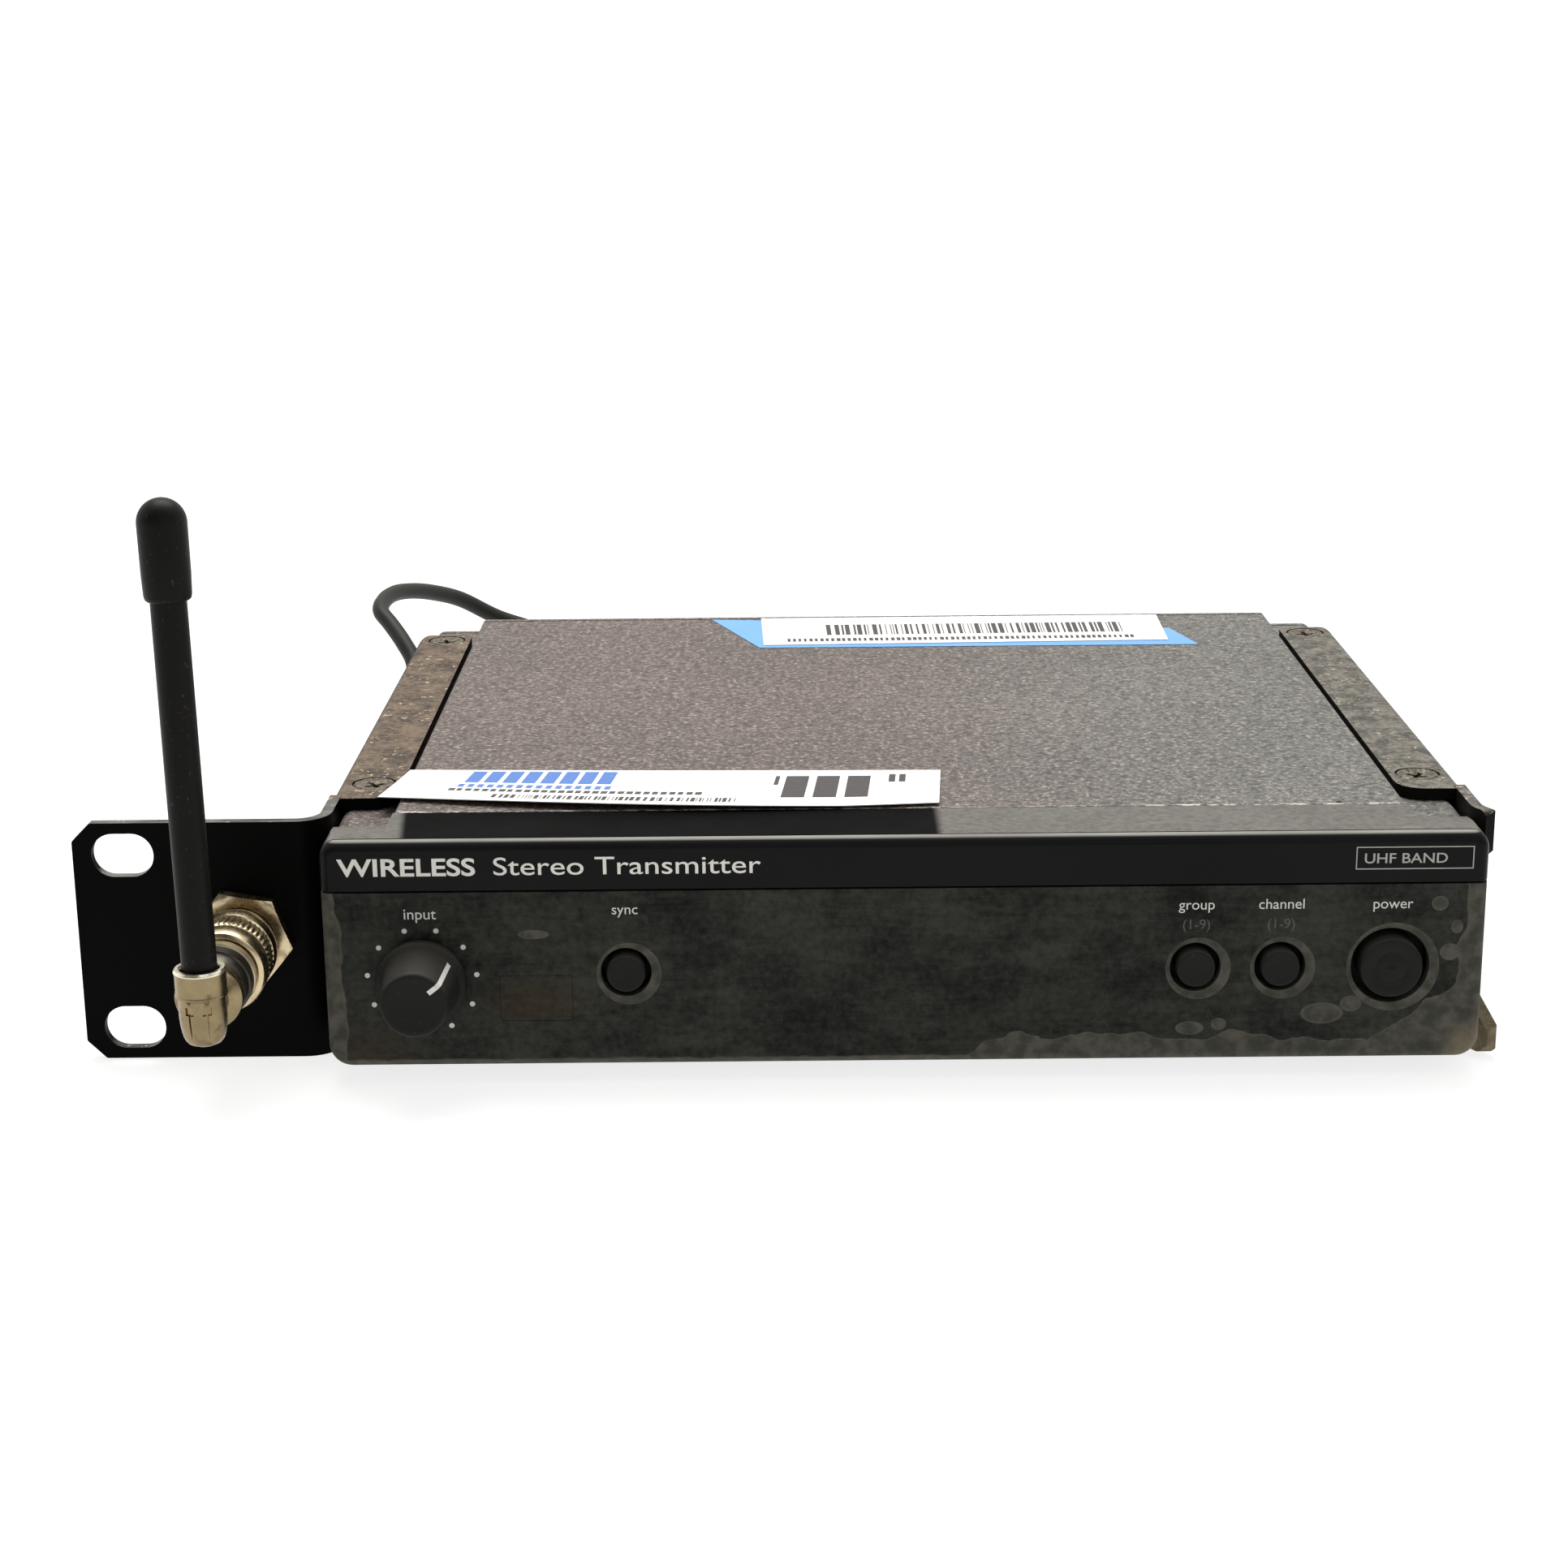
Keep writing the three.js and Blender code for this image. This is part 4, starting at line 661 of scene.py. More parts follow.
def lathe(profile, centre, axis="Y", sides=64, ripple=None, closed=False):
    """A turned solid. profile lists (radius, place along the axis); centre is the other two coordinates.
    ripple(turn, index) adds to a ring's radius."""
    verts, rings = [], []
    for index, (radius, along) in enumerate(profile):
        ring = []
        for k in range(1 if radius == 0 else sides):
            turn = 2 * math.pi * k / sides
            reach = radius + (ripple(turn, index) if ripple and radius else 0)
            u = centre[0] + reach * math.cos(turn)
            v = centre[1] + reach * math.sin(turn)
            ring.append(len(verts))
            verts.append((u, along, v) if axis == "Y" else (u, v, along))
        rings.append(ring)
    faces = []
    pairs = list(zip(rings, rings[1:]))
    if closed:
        pairs.append((rings[-1], rings[0]))
    for a, b in pairs:
        for k in range(sides):
            n = (k + 1) % sides
            quad = [a[k % len(a)], a[n % len(a)], b[n % len(b)], b[k % len(b)]]
            kept = [q for i, q in enumerate(quad) if q not in quad[:i]]
            if len(kept) > 2:
                faces.append(kept)
    for ring in (rings[0], rings[-1]):
        if not closed and len(ring) > 1:
            faces.append(list(ring))
    return raw(verts, faces)


def bake(obj):
    """Applies an object's modifiers to a fresh mesh."""
    bpy.context.view_layer.update()
    graph = bpy.context.evaluated_depsgraph_get()
    mesh = bpy.data.meshes.new_from_object(obj.evaluated_get(graph))
    obj.modifiers.clear()
    old = obj.data
    obj.data = mesh
    bpy.data.meshes.remove(old)
    return obj


def carve(obj, tools, operation="DIFFERENCE"):
    for tool in tools:
        modifier = obj.modifiers.new("carve", "BOOLEAN")
        modifier.operation = operation
        modifier.solver = "EXACT"
        modifier.object = tool
        bake(obj)
        spent = tool.data
        bpy.data.objects.remove(tool)
        bpy.data.meshes.remove(spent)
    return obj


def soften(obj, width, segments=3, angle=38):
    modifier = obj.modifiers.new("soften", "BEVEL")
    modifier.width = width
    modifier.segments = segments
    modifier.limit_method = "ANGLE"
    modifier.angle_limit = math.radians(angle)
    modifier.use_clamp_overlap = True
    return bake(obj)


def publish(obj, name, look, body, replaces=(), sharp=40, weighted=True):
    """Scales a working object to metres, names it, and sets its look and what it rides on."""
    obj.data.transform(Matrix.Scale(MM, 4))
    obj.name = obj.data.name = name
    obj.data.materials.clear()
    obj.data.materials.append(look)
    obj.data.polygons.foreach_set("use_smooth", [True] * len(obj.data.polygons))
    obj.data.set_sharp_from_angle(angle=math.radians(sharp))
    if weighted:
        modifier = obj.modifiers.new("weighted", "WEIGHTED_NORMAL")
        modifier.keep_sharp = True
    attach(obj, body)
    if replaces:
        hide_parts(*replaces)
    return obj


def joined(objects):
    """One working object from several that don't touch."""
    bm = bmesh.new()
    for obj in objects:
        bm.from_mesh(obj.data)
    mesh = bpy.data.meshes.new("work")
    bm.to_mesh(mesh)
    bm.free()
    for obj in objects:
        spent = obj.data
        bpy.data.objects.remove(obj)
        bpy.data.meshes.remove(spent)
    whole = bpy.data.objects.new("work", mesh)
    bpy.context.scene.collection.objects.link(whole)
    return whole


FACINGS = {
    "front": Matrix(((1, 0, 0), (0, 0, -1), (0, 1, 0))),
    "back": Matrix(((-1, 0, 0), (0, 0, 1), (0, 1, 0))),
}


def letters(text, size, at, facing="front", align="LEFT", width=None, weight=0.0, thick=0.02):
    """Raised lettering as a working mesh; width stretches it to that length."""
    curve = bpy.data.curves.new("letters", "FONT")
    curve.body = text
    curve.size = size
    curve.align_x = align
    curve.extrude = thick / 2
    curve.offset = weight
    curve.resolution_u = 6
    holder = bpy.data.objects.new("letters", curve)
    bpy.context.scene.collection.objects.link(holder)
    bpy.context.view_layer.update()
    graph = bpy.context.evaluated_depsgraph_get()
    mesh = bpy.data.meshes.new_from_object(holder.evaluated_get(graph))
    bpy.data.objects.remove(holder)
    bpy.data.curves.remove(curve)
    if width:
        across = [v.co.x for v in mesh.vertices]
        mesh.transform(Matrix.Diagonal((width / (max(across) - min(across)), 1, 1, 1)))
    mesh.transform(FACINGS[facing].to_4x4())
    mesh.transform(Matrix.Translation(at))
    obj = bpy.data.objects.new("work", mesh)
    bpy.context.scene.collection.objects.link(obj)
    return obj


# ---------------------------------------------------------------- coax jumper

CABLE_RADIUS = 1.9
CABLE_LOOP = [
    (0, 0, 0), (0, 6.3, 0.1), (-2, 12.5, 1.3), (-7.2, 17.6, 3.7), (-15, 19.7, 6.9), (-24.2, 18.3, 10.5),
    (-32.6, 12.9, 16.3), (-38.2, 5.9, 19.5), (-42.5, -1.7, 21.6), (-45.6, -8.7, 22.5), (-47.2, -15.1, 22.1),
    (-47.2, -20.7, 20.9), (-44.4, -24.8, 18.6), (-41.2, -29, 15.4),
]
CABLE_RUN = [
    (10.8, 0.986, 11.5), (10.9, 0.925, 5.6), (10.9, 0.806, -0.4), (10.9, 0.693, -5), (10.8, 0.564, -8),
    (10.7, 0.435, -9.1), (10.4, 0.322, -9.5), (9.3, 0.233, -7.7), (6.6, 0.157, -4.5), (2.8, 0.096, -1.5),
    (0.4, 0.043, -0.2), (0, 0, 0),
]


def cable_route():
    """The jumper's middle line: a loop off the rear plug, then a run forward to the ear's plug."""
    rear_x, _, rear_z = middle("cable_plug_rear")
    front_x, _, front_z = middle("cable_plug_front")
    rear_y = box("cable_plug_rear")[1][1] + 0.3
    front_y = box("cable_plug_front")[1][1] + 0.3
    route = [(rear_x + dx, rear_y + dy, rear_z + dz) for dx, dy, dz in CABLE_LOOP]
    for dx, share, dz in CABLE_RUN:
        route.append((front_x + dx, front_y + share * (panel_high[1] - front_y), front_z + dz))
    return route


def centripetal(points, steps=6):
    """Smooth points through the given ones, spaced as the CAD route spaces them."""
    points = [Vector(p) for p in points]
    padded = [2 * points[0] - points[1], *points, 2 * points[-1] - points[-2]]
    smooth = []
    for p0, p1, p2, p3 in zip(padded, padded[1:], padded[2:], padded[3:]):
        t0 = 0.0
        t1 = t0 + (p1 - p0).length ** 0.5
        t2 = t1 + (p2 - p1).length ** 0.5
        t3 = t2 + (p3 - p2).length ** 0.5
        for k in range(steps):
            t = t1 + (t2 - t1) * k / steps
            a1 = p0 * (t1 - t) / (t1 - t0) + p1 * (t - t0) / (t1 - t0)
            a2 = p1 * (t2 - t) / (t2 - t1) + p2 * (t - t1) / (t2 - t1)
            a3 = p2 * (t3 - t) / (t3 - t2) + p3 * (t - t2) / (t3 - t2)
            b1 = a1 * (t2 - t) / (t2 - t0) + a2 * (t - t0) / (t2 - t0)
            b2 = a2 * (t3 - t) / (t3 - t1) + a3 * (t - t1) / (t3 - t1)
            smooth.append(b1 * (t2 - t) / (t2 - t1) + b2 * (t - t1) / (t2 - t1))
    return [*smooth, points[-1]]


def make_cable():
    route = cable_route()
    line = centripetal(route)
    curve = bpy.data.curves.new("antenna_cable_jacket", "CURVE")
    curve.dimensions = "3D"
    curve.bevel_depth = CABLE_RADIUS * MM
    curve.bevel_resolution = 6
    curve.use_fill_caps = True
    spline = curve.splines.new("POLY")
    spline.points.add(len(line) - 1)
    for point, at in zip(spline.points, line):
        point.co = (*(at * MM), 1)
    spline.use_smooth = True
    curve.materials.append(jacket_look)
    cable = bpy.data.objects.new("antenna_cable_jacket", curve)
    bpy.context.scene.collection.objects.link(cable)
    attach(cable, "housing")
    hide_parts("antenna_cable")
    length = sum((b - a).length for a, b in zip(line, line[1:]))
    return cable, route[0], length


def coupling_ring(name, node, direction, body):
    """Bayonet ring with knurled bands and grooves; direction is the way the plug leaves."""
    low, high = box(node)
    x, _, z = middle(node)
    outer = (high[0] - low[0]) / 2
    start, end = (low[1], high[1]) if direction > 0 else (high[1], low[1])
    bore = 5.15
    span = abs(end - start)

    def at(d):
        return start + direction * d

    teeth = 48
    knurled = {9, 10}
    profile = [
        (bore, at(0)), (outer - 1, at(0)), (outer - 0.25, at(0.5)), (outer - 0.02, at(1.6)),
        (outer - 0.02, at(2.6)), (outer - 0.3, at(3.6)), (outer - 0.8, at(3.9)), (outer - 0.8, at(4.3)),
        (outer - 0.35, at(4.5)),
        (outer - 0.05, at(4.8)), (outer - 0.05, at(8.2)), (outer - 0.4, at(8.5)), (outer - 0.6, at(8.7)),
        (outer - 0.6, at(9.2)), (outer - 0.1, at(9.5)), (outer - 0.02, at(10)), (outer - 0.02, at(span - 1)),
        (outer - 0.3, at(span - 0.3)), (outer - 0.9, at(span)), (6.2, at(span)), (6.2, at(span - 0.7)),
        (4.7, at(span - 0.7)), (4.7, at(span - 1.5)), (bore, at(span - 1.7)),
    ]

    def ripple(turn, index):
        return 0.16 * math.cos(teeth * turn) - 0.14 if index in knurled else 0

    ring = lathe(profile, (x, z), sides=teeth * 4, ripple=ripple, closed=True)
    return publish(ring, name, nickel_look, body, [node], sharp=30, weighted=False)


def cable_plug(name, node, direction, body):
    """Cable plug with a stepped body and a ribbed strain relief."""
    low, high = box(node)
    x, _, z = middle(node)
    start, end = (low[1], high[1]) if direction > 0 else (high[1], low[1])

    def at(share):
        return start + (end - start) * share

    profile = [
        (0, at(0)), (4.2, at(0)), (4.4, at(0.02)), (4.4, at(0.27)), (4.6, at(0.28)), (4.6, at(0.44)),
        (4.35, at(0.45)), (4.35, at(0.47)), (4.6, at(0.48)), (4.5, at(0.61)), (3.4, at(0.635)),
    ]
    ribs = 5
    for k in range(ribs):
        share = 0.64 + 0.34 * k / ribs
        width = 0.34 / ribs
        profile += [(3.2, at(share)), (3.2, at(share + width * 0.55)), (2.85, at(share + width * 0.65)),
                    (2.85, at(share + width * 0.95))]
    profile += [(2.9, at(0.985)), (2.6, at(1)), (0, at(1))]
    plug = lathe(profile, (x, z), sides=48)
    return publish(plug, name, dark_metal_look, body, [node], sharp=30, weighted=False)


aim_camera()
cable, cable_start, cable_length = make_cable()
cord_pieces = [
    cable_plug("cable_plug_rear_fine", "cable_plug_rear", UP, "housing"),
    coupling_ring("cable_ring_rear_fine", "cable_ring_rear", UP, "rear_cable_ring"),
    cable_plug("cable_plug_front_fine", "cable_plug_front", UP, "housing"),
    coupling_ring("cable_ring_front_fine", "cable_ring_front", UP, "front_cable_ring"),
]
[v * MM for v in cable_start]
cable_length * MM


# ---------------------------------------------------------------- front

EDGE_RADIUS = 1.8
TOP_CORNER, BOTTOM_CORNER = 3, 4
FRONT_BACK = overlay_high[1]
SEAM_LOW, SEAM_HIGH = overlay_high[2], strip_low[2]


def front_outline(inset, steps=9):
    side, low, high = HALF_WIDTH - inset, BOTTOM_CORNER - inset, TOP_CORNER - inset
    return rounded([
        (-side, inset, low), (side, inset, low), (side, TOP - inset, high), (-side, TOP - inset, high),
    ], steps)


def front_plate():
    """The whole front plate with its edges rolled over."""
    rings = []
    roll_steps = 7
    for k in range(roll_steps + 1):
        angle = math.pi / 2 * k / roll_steps
        rings.append((EDGE_RADIUS * (1 - math.sin(angle)), FRONT + EDGE_RADIUS * (1 - math.cos(angle))))
    rings.append((0, FRONT_BACK))
    verts, count = [], len(front_outline(0))
    for inset, y in rings:
        verts += [(p[0], y, p[1]) for p in front_outline(inset)]
    faces = [list(range(count)), list(range(count * len(rings) - 1, count * (len(rings) - 1) - 1, -1))]
    for r in range(len(rings) - 1):
        for i in range(count):
            n = (i + 1) % count
            faces.append([r * count + i, r * count + n, (r + 1) * count + n, (r + 1) * count + i])
    return raw(verts, faces)


def control_holes(y0, y1, knob_radius=3.7):
    holes = [
        prism(circle(BUTTONS[name][0], BUTTON_Z, HOLE_RADIUS[name]), y0, y1, front_view) for name in BUTTONS
    ]
    holes.append(prism(circle(KNOB_X, KNOB_Z, knob_radius), y0, y1, front_view))
    return holes


def make_front():
    reach = HALF_WIDTH + 2
    strip = carve(front_plate(), [block(-reach, reach, FRONT - 2, FRONT_BACK + 2, -5, SEAM_HIGH)])
    soften(strip, 0.12, 2)
    publish(strip, "display_strip_fine", gloss_look, "housing", ["display_strip"])

    low, high = box("infrared_window")
    tools = [
        block(-reach, reach, FRONT - 2, FRONT_BACK + 2, SEAM_LOW, TOP + 5),
        *control_holes(FRONT - 2, FRONT_BACK + 2),
        prism(rounded_box(low[0] - 0.05, high[0] + 0.05, low[2] - 0.05, high[2] + 0.05, WINDOW_CORNER),
              FRONT - 2, FRONT_BACK + 2, front_view),
    ]
    overlay = soften(carve(front_plate(), tools), 0.12, 2)
    publish(overlay, "front_overlay_fine", overlay_look, "housing", ["front_overlay"])

    pane = rounded_box(low[0], high[0], low[2], high[2], WINDOW_CORNER)
    window = prism(pane, low[1], high[1], front_view)
    publish(soften(window, 0.05, 2), "infrared_window_fine", infrared_look, "housing",
            ["infrared_window"])

    wall = BEZEL_WALL
    inner = bezel_low[1] + wall
    fall = [(bezel_low[1], TOP + 0.3), (bezel_high[1] + 1, SHELF), (bezel_high[1] + 1, TOP + 2),
            (bezel_low[1], TOP + 2)]
    cavity = HALF_WIDTH - wall
    tools = [
        block(-cavity, cavity, inner, bezel_high[1] + 1, wall, SHELF - wall),
        block(-STEP_X + wall, STEP_X - wall, inner, bezel_high[1] + 1, SHELF - wall - 1, TOP - wall),
        prism(fall, STEP_X, reach, side_view),
        prism(fall, -reach, -STEP_X, side_view),
        *control_holes(bezel_low[1] - 1, inner + 1),
    ]
    display_low, display_high = box("display_module")
    tools.append(block(
        display_low[0] - 0.3, display_high[0] + 0.3, bezel_low[1] + 0.8, inner + 1,
        display_low[2] - 0.3, display_high[2] + 0.3,
    ))
    bezel = carve(prism(front_outline(0), bezel_low[1], bezel_high[1], front_view), tools)
    soften(bezel, 0.35, 3)
    publish(bezel, "front_bezel_fine", moulding_look, "housing", ["front_bezel"])


def make_front_lettering():
    face = FRONT - 0.005
    strip_z = (strip_low[2] + strip_high[2]) / 2
    title = [
        letters("WIRELESS", 4.3, (-95.7, face, strip_z - 1.6), width=23.4, weight=0.09),
        letters("Stereo Transmitter", 4.5, (-69.6, face, strip_z - 1.6), width=45.2, weight=0.01),
        letters("UHF BAND", 2.5, (77.6, face, strip_z - 0.9), width=14, weight=0.02),
    ]
    line = 0.18
    x0, x1, z0, z1 = 76.3, 96.2, strip_z - 2.0, strip_z + 2.0
    for a, b, c, d in ((x0, x1, z0, z0 + line), (x0, x1, z1 - line, z1),
                       (x0, x0 + line, z0 + line, z1 - line), (x1 - line, x1, z0 + line, z1 - line)):
        title.append(block(a, b, face - 0.01, face + 0.01, c, d))
    publish(joined(title[:2]), "title_print", white_ink, "housing", weighted=False)
    publish(joined(title[2:]), "band_print", faint_white, "housing", weighted=False)

    words = [letters("input", 2.75, (KNOB_X, face, 26.9), align="CENTER")]
    for name, z in (("sync", 27.5), ("group", 27.4), ("channel", 27.4), ("power", 27.3)):
        words.append(letters(name, 2.6, (BUTTONS[name][0], face, z), align="CENTER"))
    publish(joined(words), "control_print", soft_ink, "housing", weighted=False)
    faint = [
        letters("(1-9)", 2.5, (BUTTONS[name][0], face, 23.9), align="CENTER")
        for name in ("group", "channel")
    ]
    publish(joined(faint), "faint_print", faint_ink, "housing", weighted=False)

    dots = []
    for k in range(DIAL_MARKS):
        angle = math.radians(DIAL_START - DIAL_SWEEP * k / (DIAL_MARKS - 1))
        x = KNOB_X + DIAL_RADIUS * math.cos(angle)
        z = KNOB_Z + DIAL_RADIUS * math.sin(angle)
        dots.append(prism(circle(x, z, DIAL_DOT, 24), face - 0.01, face + 0.01, front_view))
    publish(joined(dots), "dial_dots", soft_ink, "housing", weighted=False)


# ---------------------------------------------------------------- housing

def housing_section(inset, upper):
    """Half of the housing's cross-section: the cover above the seam, or the pan below it."""
    side, step = HALF_WIDTH - inset, STEP_X - inset
    edge = max(2 - inset, 0.3)
    if upper:
        seam, top, ledge = cover_low[2], TOP - inset, SHELF - inset
    else:
        seam, top, ledge = box("base_pan")[1][2], inset, TOP - SHELF + inset
    right = [(side, seam), (side, ledge, edge), (step, ledge, 0.4), (step, top, edge / 2)]
    left = [(-p[0], *p[1:]) for p in reversed(right)]
    return rounded([*right, *left], 7)


def shell(upper, y0, y1, thickness=1.2):
    """A folded sheet: the section's outline with its inner offset, drawn back."""
    outer = housing_section(0, upper)
    inner = housing_section(thickness, upper)
    return prism([*outer, *reversed(inner)], y0, y1, front_view)


def make_housing():
    cover = shell(True, cover_low[1], cover_high[1])
    pinhole = prism(circle(76.8, -66.8, 0.55, 20), TOP - 0.7, TOP + 1, plan_view)
    carve(cover, [pinhole])
    soften(cover, 0.22, 3)
    publish(cover, "top_cover_fine", powder_look, "housing", ["top_cover"])

    pan = shell(False, cover_low[1], cover_high[1])
    feet = [middle(f"foot_{n}") for n in range(1, 5)]
    vents = []
    for side in (-1, 1):
        for k in range(9):
            y = -36 + 9 * k
            slot_shape = rounded_box(side * 40 - 14, side * 40 + 14, y - 1.2, y + 1.2, 1.15, 5)
            vents.append(prism(slot_shape, -1, 0.35, plan_view))
    dimples = [prism(circle(f[0], f[1], 6.5), -1, 0.4, plan_view) for f in feet]
    carve(pan, [joined(vents), joined(dimples)])
    soften(pan, 0.2, 2)
    publish(pan, "base_pan_fine", powder_look, "housing", ["base_pan"])

    for n, (x, y, _) in enumerate(feet, 1):
        low, high = box(f"foot_{n}")
        profile = [
            (0, high[2]), (6, high[2]), (6, low[2] + 1), (5.7, low[2] + 0.35), (5.1, low[2]), (3.4, low[2]),
            (3.1, low[2] + 0.25), (2.2, low[2] + 0.25), (1.9, low[2]), (1.2, low[2]), (0.9, low[2] + 0.9),
            (0, low[2] + 0.9),
        ]
        publish(lathe(profile, (x, y), "Z", 48), f"foot_{n}_fine", rubber_look, "housing",
                [f"foot_{n}"], sharp=50, weighted=False)


# ---------------------------------------------------------------- brackets

def bracket_channel(side, low, high, y0, y1):
    """The channel that wraps one side of the housing."""
    outer = side * BRACKET_OUTER
    wall = side * BRACKET_INNER
    inner = side * (HALF_WIDTH - 9.7)
    section = rounded([
        (inner, high), (outer, high, BEND), (outer, low, BEND), (inner, low), (inner, low + THICK),
        (wall, low + THICK, 0.5), (wall, high - THICK, 0.5), (inner, high - THICK),
    ], 8)
    plan = rounded([(inner, y0, 5), (outer, y0), (outer, y1, 3.5), (inner, y1, 2.5)], 8)
    trim = prism(plan, low - 1, high + 1, plan_view)
    return carve(prism(section, y0, y1, front_view), [trim], "INTERSECT")


def screw_hole(x, y, top, direction):
    head, shank = 4.05, 1.8
    profile = [(0, top + direction * 0.3), (head, top + direction * 0.3), (head, top - direction * 0.4),
               (shank, top - direction * 2.1), (shank, top - direction * 8), (0, top - direction * 8)]
    return lathe(profile, (x, y), "Z", 40)


def screw_holes(side, strip_top, strip_bottom):
    """Countersunk holes of the bracket screws on one side, above and below."""
    holes = []
    for level, place, direction in (("top", strip_top, UP), ("bottom", strip_bottom, DOWN)):
        for n in range(1, 5):
            x, y, _ = middle(f"bracket_screw_{level}_{n}")
            if side * x > 0:
                holes.append(screw_hole(x, y, place, direction))
    return holes


def make_long_ear():
    strip_top = box("bracket_screw_top_1")[1][2]
    strip_bottom = box("bracket_screw_bottom_1")[0][2]
    y0, y1 = STRIP_FRONT, STRIP_REAR
    channel = bracket_channel(-1, strip_bottom, strip_top, y0, y1)
    inner_plane, outer_plane = -BRACKET_INNER, -BRACKET_OUTER
    front_y = EAR_FRONT
    rear_y = front_y + THICK
    inside = 4
    bend_x, bend_y = outer_plane - inside, rear_y + inside
    plan = [(inner_plane, y0 + 2), (inner_plane, bend_y)]
    arc_steps = 10
    for k in range(1, arc_steps + 1):
        a = -math.pi / 2 * k / arc_steps
        plan.append((bend_x + (inside + THICK) * math.cos(a), bend_y + (inside + THICK) * math.sin(a)))
    plan += [(ear_low[0], front_y), (ear_low[0], rear_y)]
    for k in range(arc_steps + 1):
        a = -math.pi / 2 * (1 - k / arc_steps)
        plan.append((bend_x + inside * math.cos(a), bend_y + inside * math.sin(a)))
    plan.append((outer_plane, y0 + 2))
    bottom, top = ear_low[2], ear_high[2]
    ear = prism(plan, bottom, top, plan_view)
    edge = ear_low[0]
    cut = EAR_CHAMFER
    face = [(edge, bottom + cut, 0.6), (edge + cut, bottom, 0.6), (inner_plane + 1, bottom),
            (inner_plane + 1, top), (edge + cut, top, 0.6), (edge, top - cut, 0.6)]
    carve(ear, [prism(rounded(face, 4), front_y - 1, y0 + 3, front_view)], "INTERSECT")
    carve(ear, [channel], "UNION")
    slot_x, mid = edge + SLOT_FROM_EDGE, (bottom + top) / 2
    tools = []
    for n in (-1, 1):
        z = mid + n * SLOT_SPACING / 2
        slot = rounded_box(slot_x - SLOT_HALF_LENGTH, slot_x + SLOT_HALF_LENGTH,
                           z - SLOT_HALF_HEIGHT, z + SLOT_HALF_HEIGHT, SLOT_CORNER, 10)
        tools.append(prism(slot, front_y - 1, rear_y + 1, front_view))
    tools.append(prism(circle(ADAPTER_X, ADAPTER_Z, THREAD_HOLE), front_y - 1, rear_y + 1, front_view))
    tools += screw_holes(-1, strip_top, strip_bottom)
    carve(ear, tools)
    soften(ear, 0.28, 3)
    publish(ear, "rack_ear_fine", ear_look, "housing", ["rack_ear_bracket"])


def flared_tab(start, length, z0, z1, low_cut, high_cut):
    """A forward tab that flares outward; the cuts shape its free corners."""
    turn = math.radians(TAB_TURN)
    bend_radius = TAB_BEND
    outer, inner = BRACKET_OUTER, BRACKET_INNER
    bend_y = FRONT + start
    centre_x = outer + bend_radius - THICK / 2
    reach, near = bend_radius + THICK / 2, bend_radius - THICK / 2
    along = Vector((math.sin(turn), -math.cos(turn))) * length
    plan = [Vector((inner, STRIP_FRONT + 2)), Vector((inner, bend_y))]
    steps = 8
    for k in range(1, steps + 1):
        a = math.pi + turn * k / steps
        plan.append(Vector((centre_x + reach * math.cos(a), bend_y + reach * math.sin(a))))
    plan.append(plan[-1] + along)
    outside = Vector((centre_x - math.cos(turn) * near, bend_y - math.sin(turn) * near))
    plan += [outside + along, outside]
    for k in range(1, steps + 1):
        a = math.pi + turn * (1 - k / steps)
        plan.append(Vector((centre_x + near * math.cos(a), bend_y + near * math.sin(a))))
    plan.append(Vector((outer, STRIP_FRONT + 2)))
    tab = prism(plan, z0, z1, plan_view)
    tip = min(p[1] for p in plan)
    rear = STRIP_FRONT + 3
    side = rounded([
        (tip, z0 + low_cut, 1), (tip + low_cut, z0, 1.2), (rear, z0), (rear, z1),
        (tip + high_cut, z1, min(1.6, high_cut)), (tip, z1 - high_cut, 1),
    ], 6)
    return carve(tab, [prism(side, inner - 3, outer + 8, side_view)], "INTERSECT")


def make_side_bracket():
    strip_top = box("bracket_screw_top_1")[1][2]
    strip_bottom = box("bracket_screw_bottom_1")[0][2]
    bracket = bracket_channel(1, strip_bottom, strip_top, STRIP_FRONT, STRIP_REAR)
    low, top = side_low[2], side_high[2]
    web = block(BRACKET_INNER, BRACKET_OUTER, FRONT + 21, STRIP_FRONT + 2, low, top)
    carve(bracket, [
        web, flared_tab(18, 2.1, top - 11.4, top, 5, 1), flared_tab(15, 4.6, low, low + 11.7, 2, 7.2),
    ], "UNION")
    carve(bracket, screw_holes(1, strip_top, strip_bottom))
    soften(bracket, 0.28, 3)
    publish(bracket, "side_bracket_fine", side_look, "housing", ["side_bracket"])


